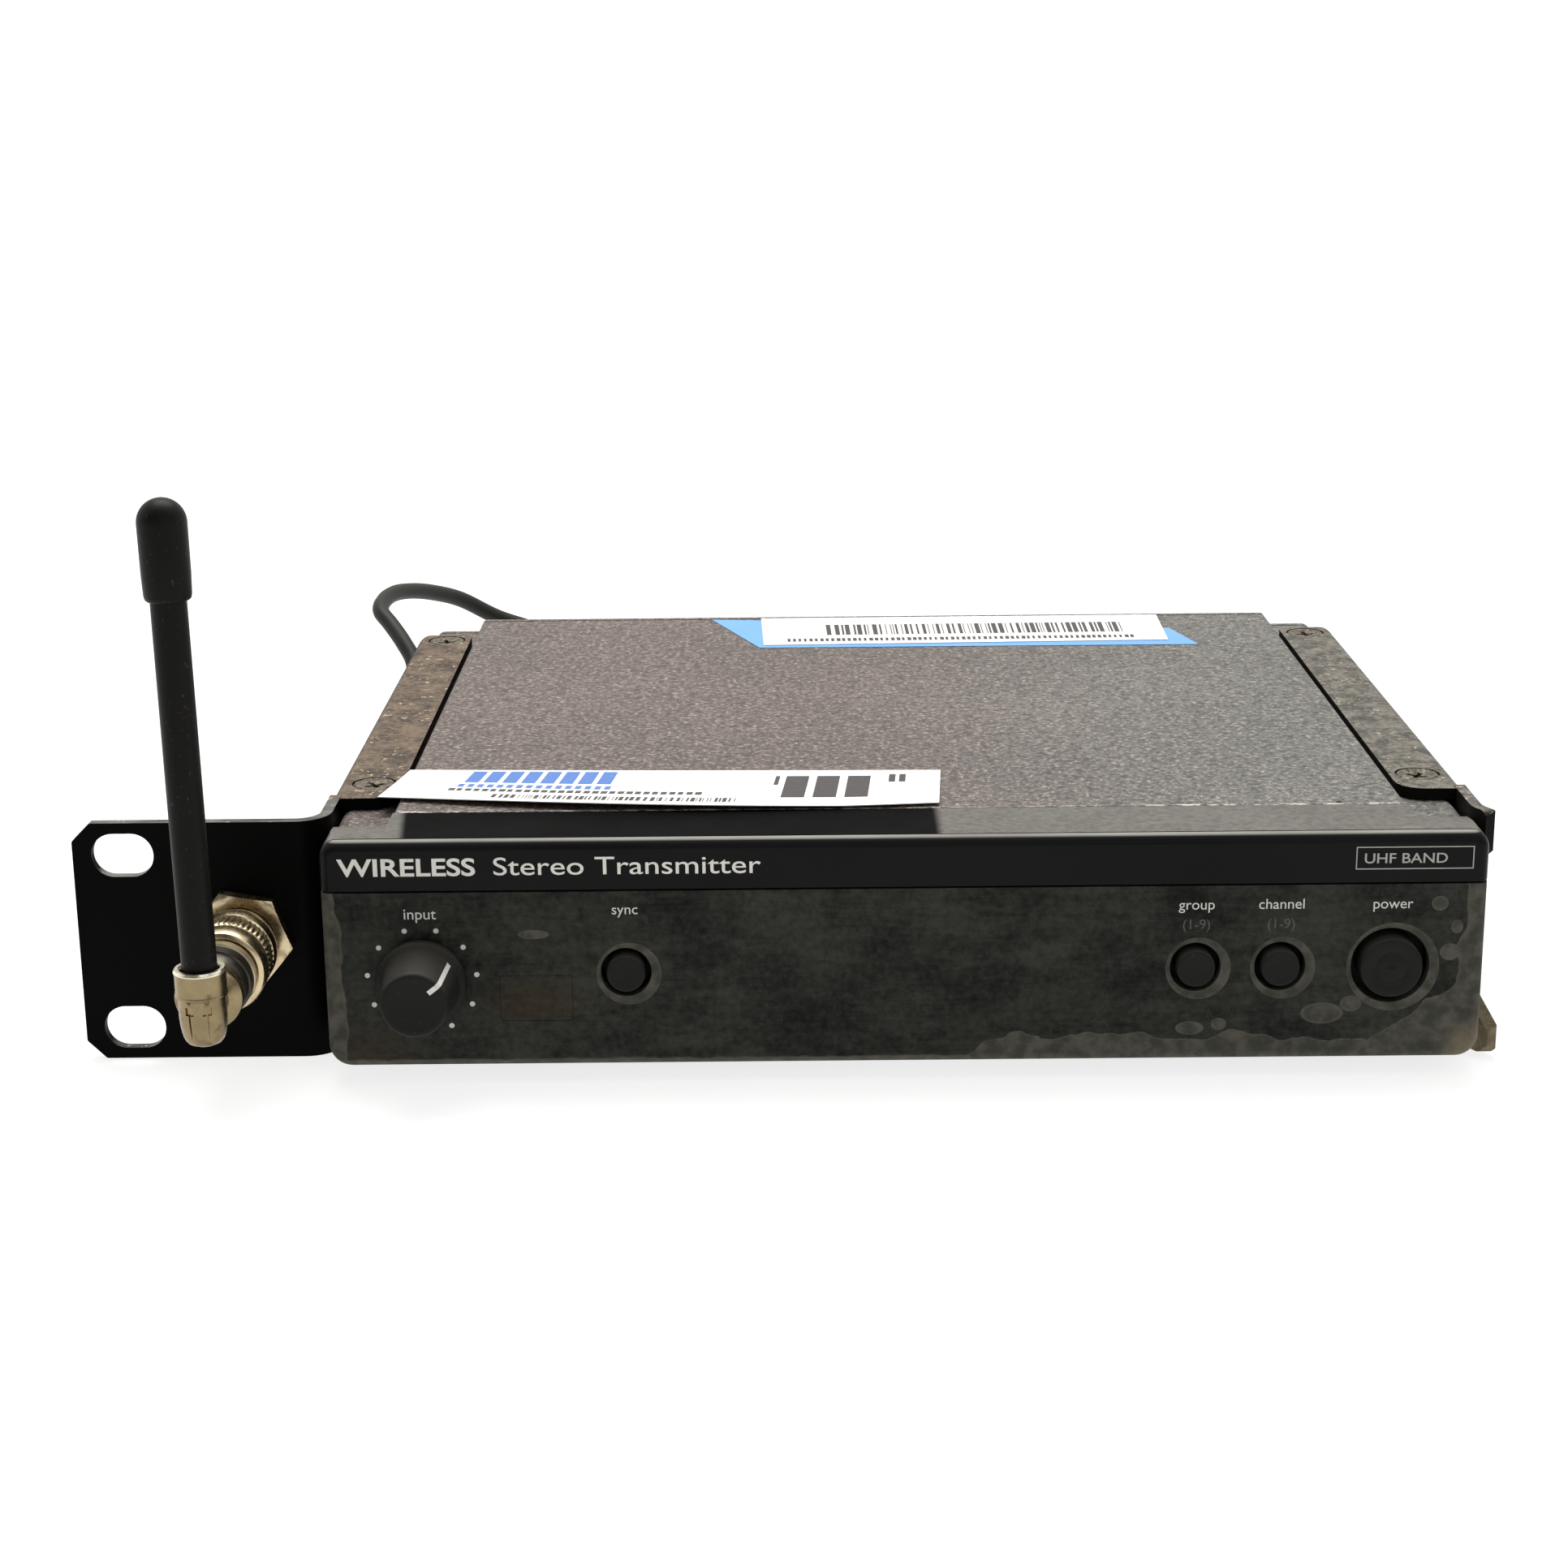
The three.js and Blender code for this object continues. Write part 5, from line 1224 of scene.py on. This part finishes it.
def make_screws():
    """Countersunk heads, a little dished, each with a cross recess turned its own way."""
    turns = random.Random(7)
    for level, direction in (("top", UP), ("bottom", DOWN)):
        for n in range(1, 5):
            node = f"bracket_screw_{level}_{n}"
            low, high = box(node)
            x, y, _ = middle(node)
            top = high[2] if direction > 0 else low[2]

            def at(d, top=top, direction=direction):
                return top - direction * d

            head = [(0, at(0.5)), (1.4, at(0.42)), (2.6, at(0.2)), (3.2, at(0.02)), (3.55, at(0)),
                    (3.75, at(0.15)), (3.75, at(0.4)), (1.5, at(2.1)), (1.5, at(7.9)), (0, at(7.9))]
            screw = lathe(head, (x, y), "Z", 40)
            turn = Matrix.Rotation(turns.uniform(0, math.pi / 2), 3, "Z")
            arms = []
            for quarter in (0, 1):
                arm = block(-1.9, 1.9, -0.42, 0.42, min(at(-1), at(1.4)), max(at(-1), at(1.4)))
                spin = turn @ Matrix.Rotation(quarter * math.pi / 2, 3, "Z")
                arm.data.transform(Matrix.Translation((x, y, 0)) @ spin.to_4x4())
                arms.append(arm)
            carve(screw, arms)
            soften(screw, 0.07, 2, 50)
            publish(screw, f"{node}_fine", screw_look, "housing", [node])


# ---------------------------------------------------------------- controls

def make_knob():
    low, high = box("input_knob")
    front, rear = low[1], high[1]
    side = [
        (0, front + 0.25), (3.8, front + 0.2), (4.6, front + 0.05), (5.05, front), (5.4, front + 0.1),
        (5.65, front + 0.35), (5.76, front + 0.8), (6.64, rear - 2.6), (6.8, rear - 2.35),
        (7.5, rear - 2.05), (7.72, rear - 1.8), (7.75, rear - 0.3), (7.6, rear), (3.3, rear),
        (3.3, front + 2.2), (0, front + 2.2),
    ]
    knob = lathe(side, (KNOB_X, KNOB_Z), sides=96)
    publish(knob, "input_knob_fine", plastic_look, "level_knob", ["input_knob"], sharp=50,
            weighted=False)

    # The pointer follows the knob's profile in a thin raised band.
    path = [(3.3, front + 0.2), (4.6, front + 0.05), (5.05, front), (5.4, front + 0.1), (5.65, front + 0.35),
            (5.76, front + 0.8), (6.2, (front + 0.8 + rear - 2.6) / 2), (6.6, rear - 2.75)]
    angle = math.radians(POINTER_ANGLE)
    out = Vector((math.cos(angle), 0, math.sin(angle)))
    across = Vector((-math.sin(angle), 0, math.cos(angle))) * 0.42
    centre = Vector((KNOB_X, 0, KNOB_Z))
    verts, faces = [], []
    for i, (radius, y) in enumerate(path):
        before, after = path[max(i - 1, 0)], path[min(i + 1, len(path) - 1)]
        slope = Vector((after[0] - before[0], after[1] - before[1])).normalized()
        normal = out * -slope.y + Vector((0, 1, 0)) * slope.x
        normal = -normal if normal.dot(out - Vector((0, 1, 0))) < 0 else normal
        spot = centre + out * radius + Vector((0, y, 0))
        for lift in (0.07, -0.3):
            verts += [spot + normal * lift - across, spot + normal * lift + across]
        if i:
            a, b = 4 * (i - 1), 4 * i
            faces += [[a, a + 1, b + 1, b], [a + 2, b + 2, b + 3, a + 3], [a, b, b + 2, a + 2],
                      [a + 1, a + 3, b + 3, b + 1]]
    end = 4 * (len(path) - 1)
    faces += [[0, 2, 3, 1], [end, end + 1, end + 3, end + 2]]
    pointer = raw(verts, faces)
    publish(pointer, "knob_pointer", white_ink, "level_knob", sharp=30, weighted=False)


def make_buttons():
    for name, (x, _, z) in BUTTONS.items():
        low, high = box(f"{name}_button")
        radius = 5.3 if name == "power" else 3.3
        face = low[1]
        flange_front, flange_rear = bezel_low[1] + BEZEL_WALL + 0.3, bezel_low[1] + BEZEL_WALL + 1.3
        flange = HOLE_RADIUS[name] + 1.2
        stem = 3 if name == "power" else 1.5
        crown = [(0, face + 0.16), (radius * 0.45, face + 0.12), (radius * 0.75, face + 0.05)]
        if name == "power":
            crown = [(0, face + 0.42), (0.45, face + 0.36), (0.6, face + 0.14), (2.4, face + 0.1),
                     (2.55, face + 0.2), (2.8, face + 0.2), (2.95, face + 0.08), (4.2, face + 0.02)]
        profile = [
            *crown, (radius - 0.45, face), (radius - 0.2, face + 0.06), (radius - 0.05, face + 0.2),
            (radius, face + 0.45), (radius, flange_front), (flange, flange_front), (flange, flange_rear),
            (stem, flange_rear), (stem, high[1]), (0, high[1]),
        ]
        publish(lathe(profile, (x, z), sides=72), f"{name}_button_fine", plastic_look, f"{name}_key",
                [f"{name}_button"], sharp=50, weighted=False)


# ---------------------------------------------------------------- antenna

NUT_ACROSS = 16
LEAN = math.radians(-0.8)


def leant(obj):
    """Turns an upright antenna piece about the adapter's axis to the whip's resting lean."""
    axis = Vector((ADAPTER_X, 0, ADAPTER_Z))
    turn = Matrix.Translation(axis) @ Matrix.Rotation(LEAN, 4, "Y") @ Matrix.Translation(-axis)
    obj.data.transform(turn)
    return obj


def hexagon(x, z, across, turn):
    circum = across / 2 / math.cos(math.pi / 6)
    return [
        Vector((x + circum * math.cos(angle), z + circum * math.sin(angle)))
        for angle in (math.radians(turn + 60 * k) for k in range(6))
    ]


def make_nut(name, node, turn, front_chamfer):
    """Hex nut with chamfered corners and a plain bore of the thread's size."""
    low, high = box(node)
    x, _, z = middle(node)
    y0, y1 = low[1], high[1]
    across = NUT_ACROSS
    nut = prism(hexagon(x, z, across, turn), y0, y1, front_view)
    corner = across / 2 / math.cos(math.pi / 6) + 0.05
    flat = across / 2 + 0.1
    depth = 0.55
    a, b = (y0, y1) if front_chamfer else (y1, y0)
    sign = 1 if b > a else -1
    profile = [(0, a), (flat, a), (corner, a + sign * depth), (corner, b), (0, b)]
    carve(nut, [lathe(profile, (x, z), sides=72)], "INTERSECT")
    carve(nut, [prism(circle(x, z, THREAD_HOLE, 48), y0 - 1, y1 + 1, front_view)])
    soften(nut, 0.12, 2, 30)
    return publish(nut, name, nickel_look, "housing", [node])


def thread(y0, y1, pitch=0.75):
    """Profile points of ridges between two places."""
    count = max(1, round(abs(y1 - y0) / pitch))
    step = (y1 - y0) / count
    points = []
    for k in range(count):
        start = y0 + step * k
        points += [(THREAD_ROOT, start), (THREAD_CREST, start + step * 0.35),
                   (THREAD_CREST, start + step * 0.6), (THREAD_ROOT, start + step * 0.95)]
    return points


def make_adapter():
    low, high = box("adapter_barrel")
    nut_low = box("adapter_nut")[0]
    washer_low, washer_high = box("adapter_washer")
    flange_front = washer_high[1] + 0.3
    flange_rear = flange_front + 3
    bore, barrel = BARREL_BORE, BARREL_RADIUS
    profile = [
        (0, low[1] + 3), (bore, low[1] + 3), (bore, low[1]), (4.6, low[1]), (barrel, low[1] + 0.3),
        (barrel, nut_low[1] - 1.2), *thread(nut_low[1] - 1.15, flange_front - 0.05),
        (THREAD_CREST, flange_front), (7.8, flange_front), (8, flange_front + 0.3),
        (8, flange_rear - 0.3), (7.8, flange_rear), (barrel, flange_rear), (barrel, high[1] - 0.3),
        (4.6, high[1]), (bore, high[1]), (bore, high[1] - 3), (0, high[1] - 3),
    ]
    barrel_piece = lathe(profile, (ADAPTER_X, ADAPTER_Z), sides=56)
    publish(barrel_piece, "adapter_barrel_fine", nickel_look, "housing", ["adapter_barrel"],
            sharp=30, weighted=False)
    make_nut("adapter_nut_fine", "adapter_nut", -9.4, True)
    teeth = 20

    def star(turn, index):
        return -0.45 * (0.5 + 0.5 * math.cos(teeth * turn)) if index in (1, 2) else 0

    outer = (washer_high[0] - washer_low[0]) / 2
    section = [(THREAD_HOLE, washer_low[1]), (outer, washer_low[1]), (outer, washer_high[1]),
               (THREAD_HOLE, washer_high[1])]
    washer = lathe(section, (ADAPTER_X, ADAPTER_Z), sides=teeth * 6, ripple=star, closed=True)
    publish(washer, "adapter_washer_fine", nickel_look, "housing", ["adapter_washer"],
            sharp=30, weighted=False)


def make_antenna():
    coupling_ring("antenna_coupling_fine", "antenna_coupling", DOWN, "antenna_ring")
    low, high = box("antenna_collar")
    centre = (ADAPTER_X, ADAPTER_Z)
    front = low[1]
    rear = front + COLLAR_LENGTH
    neck = 4.4
    collar = lathe([
        (0, high[1]), (neck, high[1]), (neck, rear), (5.6, rear), (5.95, rear - 0.35), (6, rear - 0.8),
        (6, rear - 2.2), (5.75, rear - 2.4), (5.75, rear - 3.0), (6, rear - 3.2), (5.9, front + 3.2),
        (5.6, front + 3.0),
        (5.6, front + 2.4), (5.75, front + 2.2), (5.5, front + 0.4), (5.2, front), (0, front),
    ], centre, sides=72)
    publish(collar, "antenna_collar_fine", dark_metal_look, "antenna", ["antenna_collar"],
            sharp=30, weighted=False)

    whip_x, whip_y = ADAPTER_X, middle("antenna_rod")[1]
    rim, ridge, floor = ADAPTER_Z + 7, ADAPTER_Z + 2.4, ADAPTER_Z - 6.3
    cup_radius, foot = 4.3, 3.9
    bore = 3.2
    bore_floor = ADAPTER_Z - 3.1
    cup = lathe([
        (0, floor), (1.2, floor + 0.05), (1.9, floor + 0.15), (2.7, floor + 0.5), (3.2, floor + 1.1),
        (3.55, floor + 2), (foot - 0.12, floor + 3.4), (foot, floor + 5), (foot, ridge - 0.3),
        (foot - 0.12, ridge - 0.15), (foot - 0.12, ridge - 0.05), (cup_radius, ridge),
        (cup_radius, ridge + 0.4), (cup_radius - 0.1, ridge + 0.6), (cup_radius - 0.1, rim - 0.9),
        (cup_radius, rim - 0.7), (cup_radius, rim - 0.35), (cup_radius - 0.25, rim),
        (bore + 0.3, rim), (bore + 0.05, rim - 0.3), (bore, rim - 0.8), (bore, bore_floor), (0, bore_floor),
    ], (whip_x, whip_y), "Z", 72)
    disc_rear = front - 0.3
    disc = lathe([
        (0, disc_rear), (5.4, disc_rear), (5.6, disc_rear - 0.25), (5.6, disc_rear - 2.8),
        (5.3, disc_rear - 3.15), (4.4, disc_rear - 3.35), (3.6, disc_rear - 4.1), (3.6, whip_y + 2),
        (0, whip_y + 2),
    ], centre, sides=64)
    inner = prism(circle(whip_x, whip_y, bore + 0.02, 48), bore_floor, rim + 1, plan_view)
    carve(disc, [inner])
    carve(cup, [disc], "UNION")
    slots = []
    for turn in (-112, -68):
        a = math.radians(turn)
        outward = Vector((math.cos(a), math.sin(a), 0))
        side = Vector((-math.sin(a), math.cos(a), 0))
        at = Vector((whip_x, whip_y, 0)) + outward * (foot - 0.2)
        for z0, z1, wide in ((floor + 0.9, ridge - 1.4, 0.16), (ridge - 2.6, ridge - 1.2, 0.75)):
            corners = [at + side * wide - outward * 0.2, at + side * wide + outward * 1.2,
                       at - side * wide + outward * 1.2, at - side * wide - outward * 0.2]
            slots.append(prism([(c.x, c.y) for c in corners], z0, z1, plan_view))
    carve(cup, slots)
    soften(cup, 0.06, 2, 50)
    publish(leant(cup), "antenna_elbow_fine", brass_look, "antenna", ["antenna_elbow"], sharp=40)

    foot_z, tip_z = bore_floor + 0.3, ADAPTER_Z + 77.6
    rod = lathe([
        (0, foot_z), (2.9, foot_z), (2.9, tip_z - 0.2), (2.7, tip_z), (0, tip_z),
    ], (whip_x, whip_y), "Z", 48)
    publish(leant(rod), "antenna_rod_fine", rubber_look, "antenna", ["antenna_rod"],
            weighted=False)

    radius, hem, top = 3.95, ADAPTER_Z + 67.9, ADAPTER_Z + 84.1
    dome = [
        (radius * math.cos(a), top - radius + radius * math.sin(a))
        for a in (math.pi / 2 * k / 10 for k in range(10))
    ]
    cap = lathe([
        (3.2, hem), (3.4, hem), (3.65, hem + 0.25), (3.78, hem + 0.8), (3.9, hem + 4), *dome, (0, top),
        (0, hem + 10), (3.2, hem + 10),
    ], (whip_x, whip_y), "Z", 56, closed=True)
    publish(leant(cap), "antenna_cap_fine", rubber_look, "antenna", ["antenna_cap"],
            sharp=50, weighted=False)


# ---------------------------------------------------------------- paper labels

def on_sheet(corners, height, lift, bow):
    """Gives the function that places the share (u, v) of a sheet in space."""
    front_left, front_right, rear_right, rear_left = (Vector(c) for c in corners)

    def at(u, v):
        near = front_left.lerp(front_right, u) + Vector((0, bow[0] * math.sin(math.pi * u)))
        far = rear_left.lerp(rear_right, u) + Vector((0, bow[1] * math.sin(math.pi * u)))
        spot = near.lerp(far, v)
        return spot.x, spot.y, height + lift(u, v)

    return at


def paper(name, corners, height, lift, look, thick=0.14, columns=40, rows=10, bow=(0, 0)):
    """A sheet over four corners (front left, front right, rear right, rear left); lift(u, v) raises it,
    bow bends its front and rear edges."""
    at = on_sheet(corners, height, lift, bow)
    verts, faces = [], []
    for level in (0, thick):
        for j in range(rows + 1):
            for i in range(columns + 1):
                x, y, z = at(i / columns, j / rows)
                verts.append((x, y, z + level))
    layer = (rows + 1) * (columns + 1)
    row = columns + 1
    for j in range(rows):
        for i in range(columns):
            a = j * row + i
            faces.append([a, a + row, a + row + 1, a + 1])
            faces.append([layer + a, layer + a + 1, layer + a + row + 1, layer + a + row])
    rim = [(0, i) for i in range(row)] + [(j, columns) for j in range(1, rows + 1)]
    rim += [(rows, i) for i in range(columns - 1, -1, -1)] + [(j, 0) for j in range(rows - 1, 0, -1)]
    ring = [j * row + i for j, i in rim]
    for a, b in zip(ring, ring[1:] + ring[:1]):
        faces.append([a, b, layer + b, layer + a])
    return publish(raw(verts, faces), name, look, "housing", weighted=False)


def marks(name, look, corners, height, lift, areas, bow=(0, 0), thick=0.02):
    """Printed patches on a sheet, each (u0, u1, v0, v1) in shares of it."""
    at = on_sheet(corners, height, lift, bow)
    verts, faces = [], []
    for u0, u1, v0, v1 in areas:
        cuts = max(1, math.ceil((u1 - u0) / 0.03))
        for k in range(cuts):
            a, b = u0 + (u1 - u0) * k / cuts, u0 + (u1 - u0) * (k + 1) / cuts
            start = len(verts)
            for level in (0, thick):
                verts += [(p[0], p[1], p[2] + level) for p in (at(a, v0), at(b, v0), at(b, v1), at(a, v1))]
            s = start
            faces += [[s, s + 3, s + 2, s + 1], [s + 4, s + 5, s + 6, s + 7], [s, s + 1, s + 5, s + 4],
                      [s + 1, s + 2, s + 6, s + 5], [s + 2, s + 3, s + 7, s + 6], [s + 3, s, s + 4, s + 7]]
    mesh = bpy.data.meshes.new("work")
    mesh.from_pydata(verts, [], faces)
    obj = bpy.data.objects.new("work", mesh)
    bpy.context.scene.collection.objects.link(obj)
    return publish(obj, name, look, "housing", weighted=False)


def bars(dice, u0, u1, v0, v1, pitch):
    """Meaningless upright bars of uneven width, as on a stock label."""
    areas, u = [], u0
    while u < u1:
        width = pitch * dice.choice((0.5, 1, 1.6, 2.2))
        areas.append((u, min(u + width, u1), v0, v1))
        u += width + pitch * dice.choice((0.7, 1.1, 1.9))
    return areas


def make_labels():
    dice = random.Random(11)
    top = TOP + 0.02

    def still(u, v):
        return 0.0

    blue = [(-25.5, 55.1), (69.4, 54.7), (65, 70.7), (-36.5, 83.4)]
    paper("rear_label_backing", blue, top, still, blue_look, thick=0.1, columns=24, rows=8)
    white = [(-24.6, 57.0), (63.3, 58.8), (63.8, 83.6), (-25.4, 83.4)]
    paper("rear_label_paper", white, top + 0.12, still, paper_look, columns=24, rows=8)
    rear_marks = bars(dice, 0.16, 0.9, 0.33, 0.72, 0.0052)
    rear_marks += [
        (0.06 + 0.0135 * k, 0.066 + 0.0135 * k + 0.004 * dice.random(), 0.1, 0.21) for k in range(64)
    ]
    marks("rear_label_bars", black_ink, white, top + 0.26, still, rear_marks)

    def curl(u, v):
        return 0.12 + 1.1 * (1 - v) ** 2 * (0.35 + 0.65 * math.sin(math.pi * min(1, u * 1.2)))

    front = [(-92.2, -60.4), (6.9, -67.2), (8.3, -44.8), (-88.8, -41.4)]
    bow = (-5.2, -0.4)
    paper("front_label_paper", front, top, curl, paper_look, thick=0.14, columns=60, rows=12, bow=bow)
    on_top = top + 0.145
    blue_marks = []
    for k in range(8):
        blue_marks.append((0.125 + 0.035 * k, 0.151 + 0.035 * k, 0.6, 0.95))
    for k in range(16):
        blue_marks.append((0.12 + 0.018 * k, 0.131 + 0.018 * k, 0.44, 0.54))
    marks("front_label_blue", blue_ink, front, on_top, curl, blue_marks, bow)
    dark_marks = []
    for k in range(30):
        dark_marks.append((0.11 + 0.0155 * k, 0.119 + 0.0155 * k + 0.003 * dice.random(), 0.31, 0.39))
    dark_marks += bars(dice, 0.2, 0.64, 0.1, 0.22, 0.0034)
    dark_marks += [(0.715 + 0.057 * k, 0.757 + 0.057 * k, 0.24, 0.84) for k in range(3)]
    dark_marks += [(0.695, 0.703, 0.6, 0.84)]
    dark_marks += [(0.905 + 0.019 * k, 0.917 + 0.019 * k, 0.66, 0.88) for k in range(2)]
    marks("front_label_dark", black_ink, front, on_top, curl, dark_marks, bow)


# ---------------------------------------------------------------- rear

def make_rear():
    face = panel_high[1]
    jacks = ["input_jack_right", "input_jack_left", "loop_jack_right", "loop_jack_left"]
    for name in jacks:
        low, high = box(name)
        x, _, z = middle(name)
        nut_front, nut_rear = face + 0.05, face + 1.9
        nut = prism(hexagon(x, z, 13.6, 11), nut_front, nut_rear, front_view)
        carve(nut, [prism(circle(x, z, 5.75, 40), nut_front - 1, nut_rear + 1, front_view)])
        soften(nut, 0.2, 2, 30)
        publish(nut, f"{name}_nut", nickel_look, "housing")
        lip = [(3.35, high[1] - 0.6), (3.35, high[1] - 0.05), (4.3, high[1] - 0.02), (4.3, high[1] - 0.6)]
        ring = lathe(lip, (x, z), sides=48, closed=True)
        publish(ring, f"{name}_lip", tin_look, "housing", weighted=False)
    make_nut("rear_antenna_nut_fine", "rear_antenna_nut", 12, False)

    low, high = box("rear_antenna_jack")
    x, _, z = middle("rear_antenna_jack")
    nut_high = box("rear_antenna_nut")[1][1]
    profile = [
        (0, low[1]), (THREAD_CREST, low[1]), *thread(low[1] + 0.1, nut_high + 1.1),
        (THREAD_CREST, nut_high + 1.2), (BARREL_RADIUS, nut_high + 1.2), (BARREL_RADIUS, high[1] - 0.3),
        (4.6, high[1]), (BARREL_BORE, high[1]), (BARREL_BORE, high[1] - 4), (0, high[1] - 4),
    ]
    publish(lathe(profile, (x, z), sides=56), "rear_antenna_jack_fine", nickel_look, "housing",
            ["rear_antenna_jack"], sharp=30, weighted=False)

    def between(pair):
        return (middle(pair[0])[0] + middle(pair[1])[0]) / 2

    at = face + 0.005
    words = [
        letters("ANTENNA", 2.6, (x, at, z + 11.5), "back", "CENTER"),
        letters("LEVEL", 2.0, (middle("level_switch")[0], at, z + 5), "back", "CENTER"),
        letters("LOOP OUT", 2.4, (between(jacks[2:]), at, z + 11.5), "back", "CENTER"),
        letters("INPUT", 2.4, (between(jacks[:2]), at, z + 11.5), "back", "CENTER"),
        letters("DC IN", 2.4, (middle("power_inlet")[0], at, z + 8.5), "back", "CENTER"),
    ]
    for name, word in zip(jacks, ("R", "L", "R", "L")):
        words.append(letters(word, 2.2, (middle(name)[0], at, z - 11.2), "back", "CENTER"))
    publish(joined(words), "rear_print", white_ink, "housing", weighted=False)


# ---------------------------------------------------------------- carried-over CAD nodes

NODE_LOOKS = {
    "rear_panel": powder_look, "control_board": board_look, "main_board": board_look,
    "radio_shield": tin_look,
    "display_module": gloss_look, "input_potentiometer": tin_look, "input_shaft": tin_look,
    "power_inlet": plastic_look, "level_switch": plastic_look, "level_switch_lever": plastic_look,
    "input_jack_right": plastic_look, "input_jack_left": plastic_look, "loop_jack_right": plastic_look,
    "loop_jack_left": plastic_look, "sync_switch": plastic_look, "group_switch": plastic_look,
    "channel_switch": plastic_look, "power_switch": plastic_look,
}


def dress_nodes():
    for name, look in NODE_LOOKS.items():
        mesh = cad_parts[name].data
        mesh.materials.clear()
        mesh.materials.append(look)
    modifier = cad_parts["rear_panel"].modifiers.new("edge", "BEVEL")
    modifier.width = 0.25 * MM
    modifier.segments = 2
    modifier.angle_limit = math.radians(40)


# ---------------------------------------------------------------- floor, light

def make_stage():
    reach = 30000
    corners = [(-reach, -reach, 0), (reach, -reach, 0), (reach, reach, 0), (-reach, reach, 0)]
    floor = raw(corners, [[0, 1, 2, 3]])
    floor.data.transform(Matrix.Translation((0, 0, box("foot_1")[0][2])))
    floor.data.transform(Matrix.Scale(MM, 4))
    floor.name = "floor"
    m = Net("floor_paper")
    haze = m.noise(300, 2, seed=1)
    paper_tone = m.blend(srgb(150, 150, 150), srgb(156, 156, 156), haze)
    floor.data.materials.append(m.done(paper_tone, 0.9, 0, Specular_IOR_Level=0.0,
                                       Emission_Color=(1, 1, 1, 1), Emission_Strength=0.8))


def area_light(name, at, target, size, power, colour=(1, 1, 1)):
    light = bpy.data.lights.new(name, "AREA")
    light.shape = "RECTANGLE"
    light.size, light.size_y = (s * MM for s in size)
    light.energy = power
    light.color = colour
    lamp = bpy.data.objects.new(name, light)
    bpy.context.scene.collection.objects.link(lamp)
    spot, aim = Vector(at) * MM, Vector(target) * MM
    turn = (aim - spot).to_track_quat("-Z", "Y").to_matrix().to_4x4()
    lamp.matrix_world = Matrix.Translation(spot) @ turn


def make_light():
    world = bpy.data.worlds.new("world")
    bpy.context.scene.world = world
    world.use_nodes = True
    nodes, links = world.node_tree.nodes, world.node_tree.links
    nodes.clear()
    out = nodes.new("ShaderNodeOutputWorld")
    back = nodes.new("ShaderNodeBackground")
    coords = nodes.new("ShaderNodeTexCoord")
    apart = nodes.new("ShaderNodeSeparateXYZ")
    links.new(coords.outputs["Generated"], apart.inputs[0])
    ramp = nodes.new("ShaderNodeMapRange")
    ramp.interpolation_type = "SMOOTHSTEP"
    links.new(apart.outputs["Y"], ramp.inputs["Value"])
    ramp.inputs["From Min"].default_value = -0.75
    ramp.inputs["From Max"].default_value = 0.1
    ramp.inputs["To Min"].default_value = 0.12
    ramp.inputs["To Max"].default_value = 1.02
    links.new(ramp.outputs["Result"], back.inputs["Strength"])
    back.inputs["Color"].default_value = (1, 0.99, 0.975, 1)
    links.new(back.outputs[0], out.inputs["Surface"])
    area_light("overhead", (-80, 260, 900), (0, 0, 30), (700, 500), 9, (1, 0.985, 0.96))
    area_light("front_fill", (250, -800, 420), (0, -60, 20), (500, 300), 0.8)
    bpy.context.scene.view_settings.view_transform = "Standard"


# ---------------------------------------------------------------- everything

make_front()
make_front_lettering()
make_housing()
make_long_ear()
make_side_bracket()
make_screws()
make_knob()
make_buttons()
make_adapter()
make_antenna()
make_labels()
make_rear()
dress_nodes()
make_stage()
make_light()
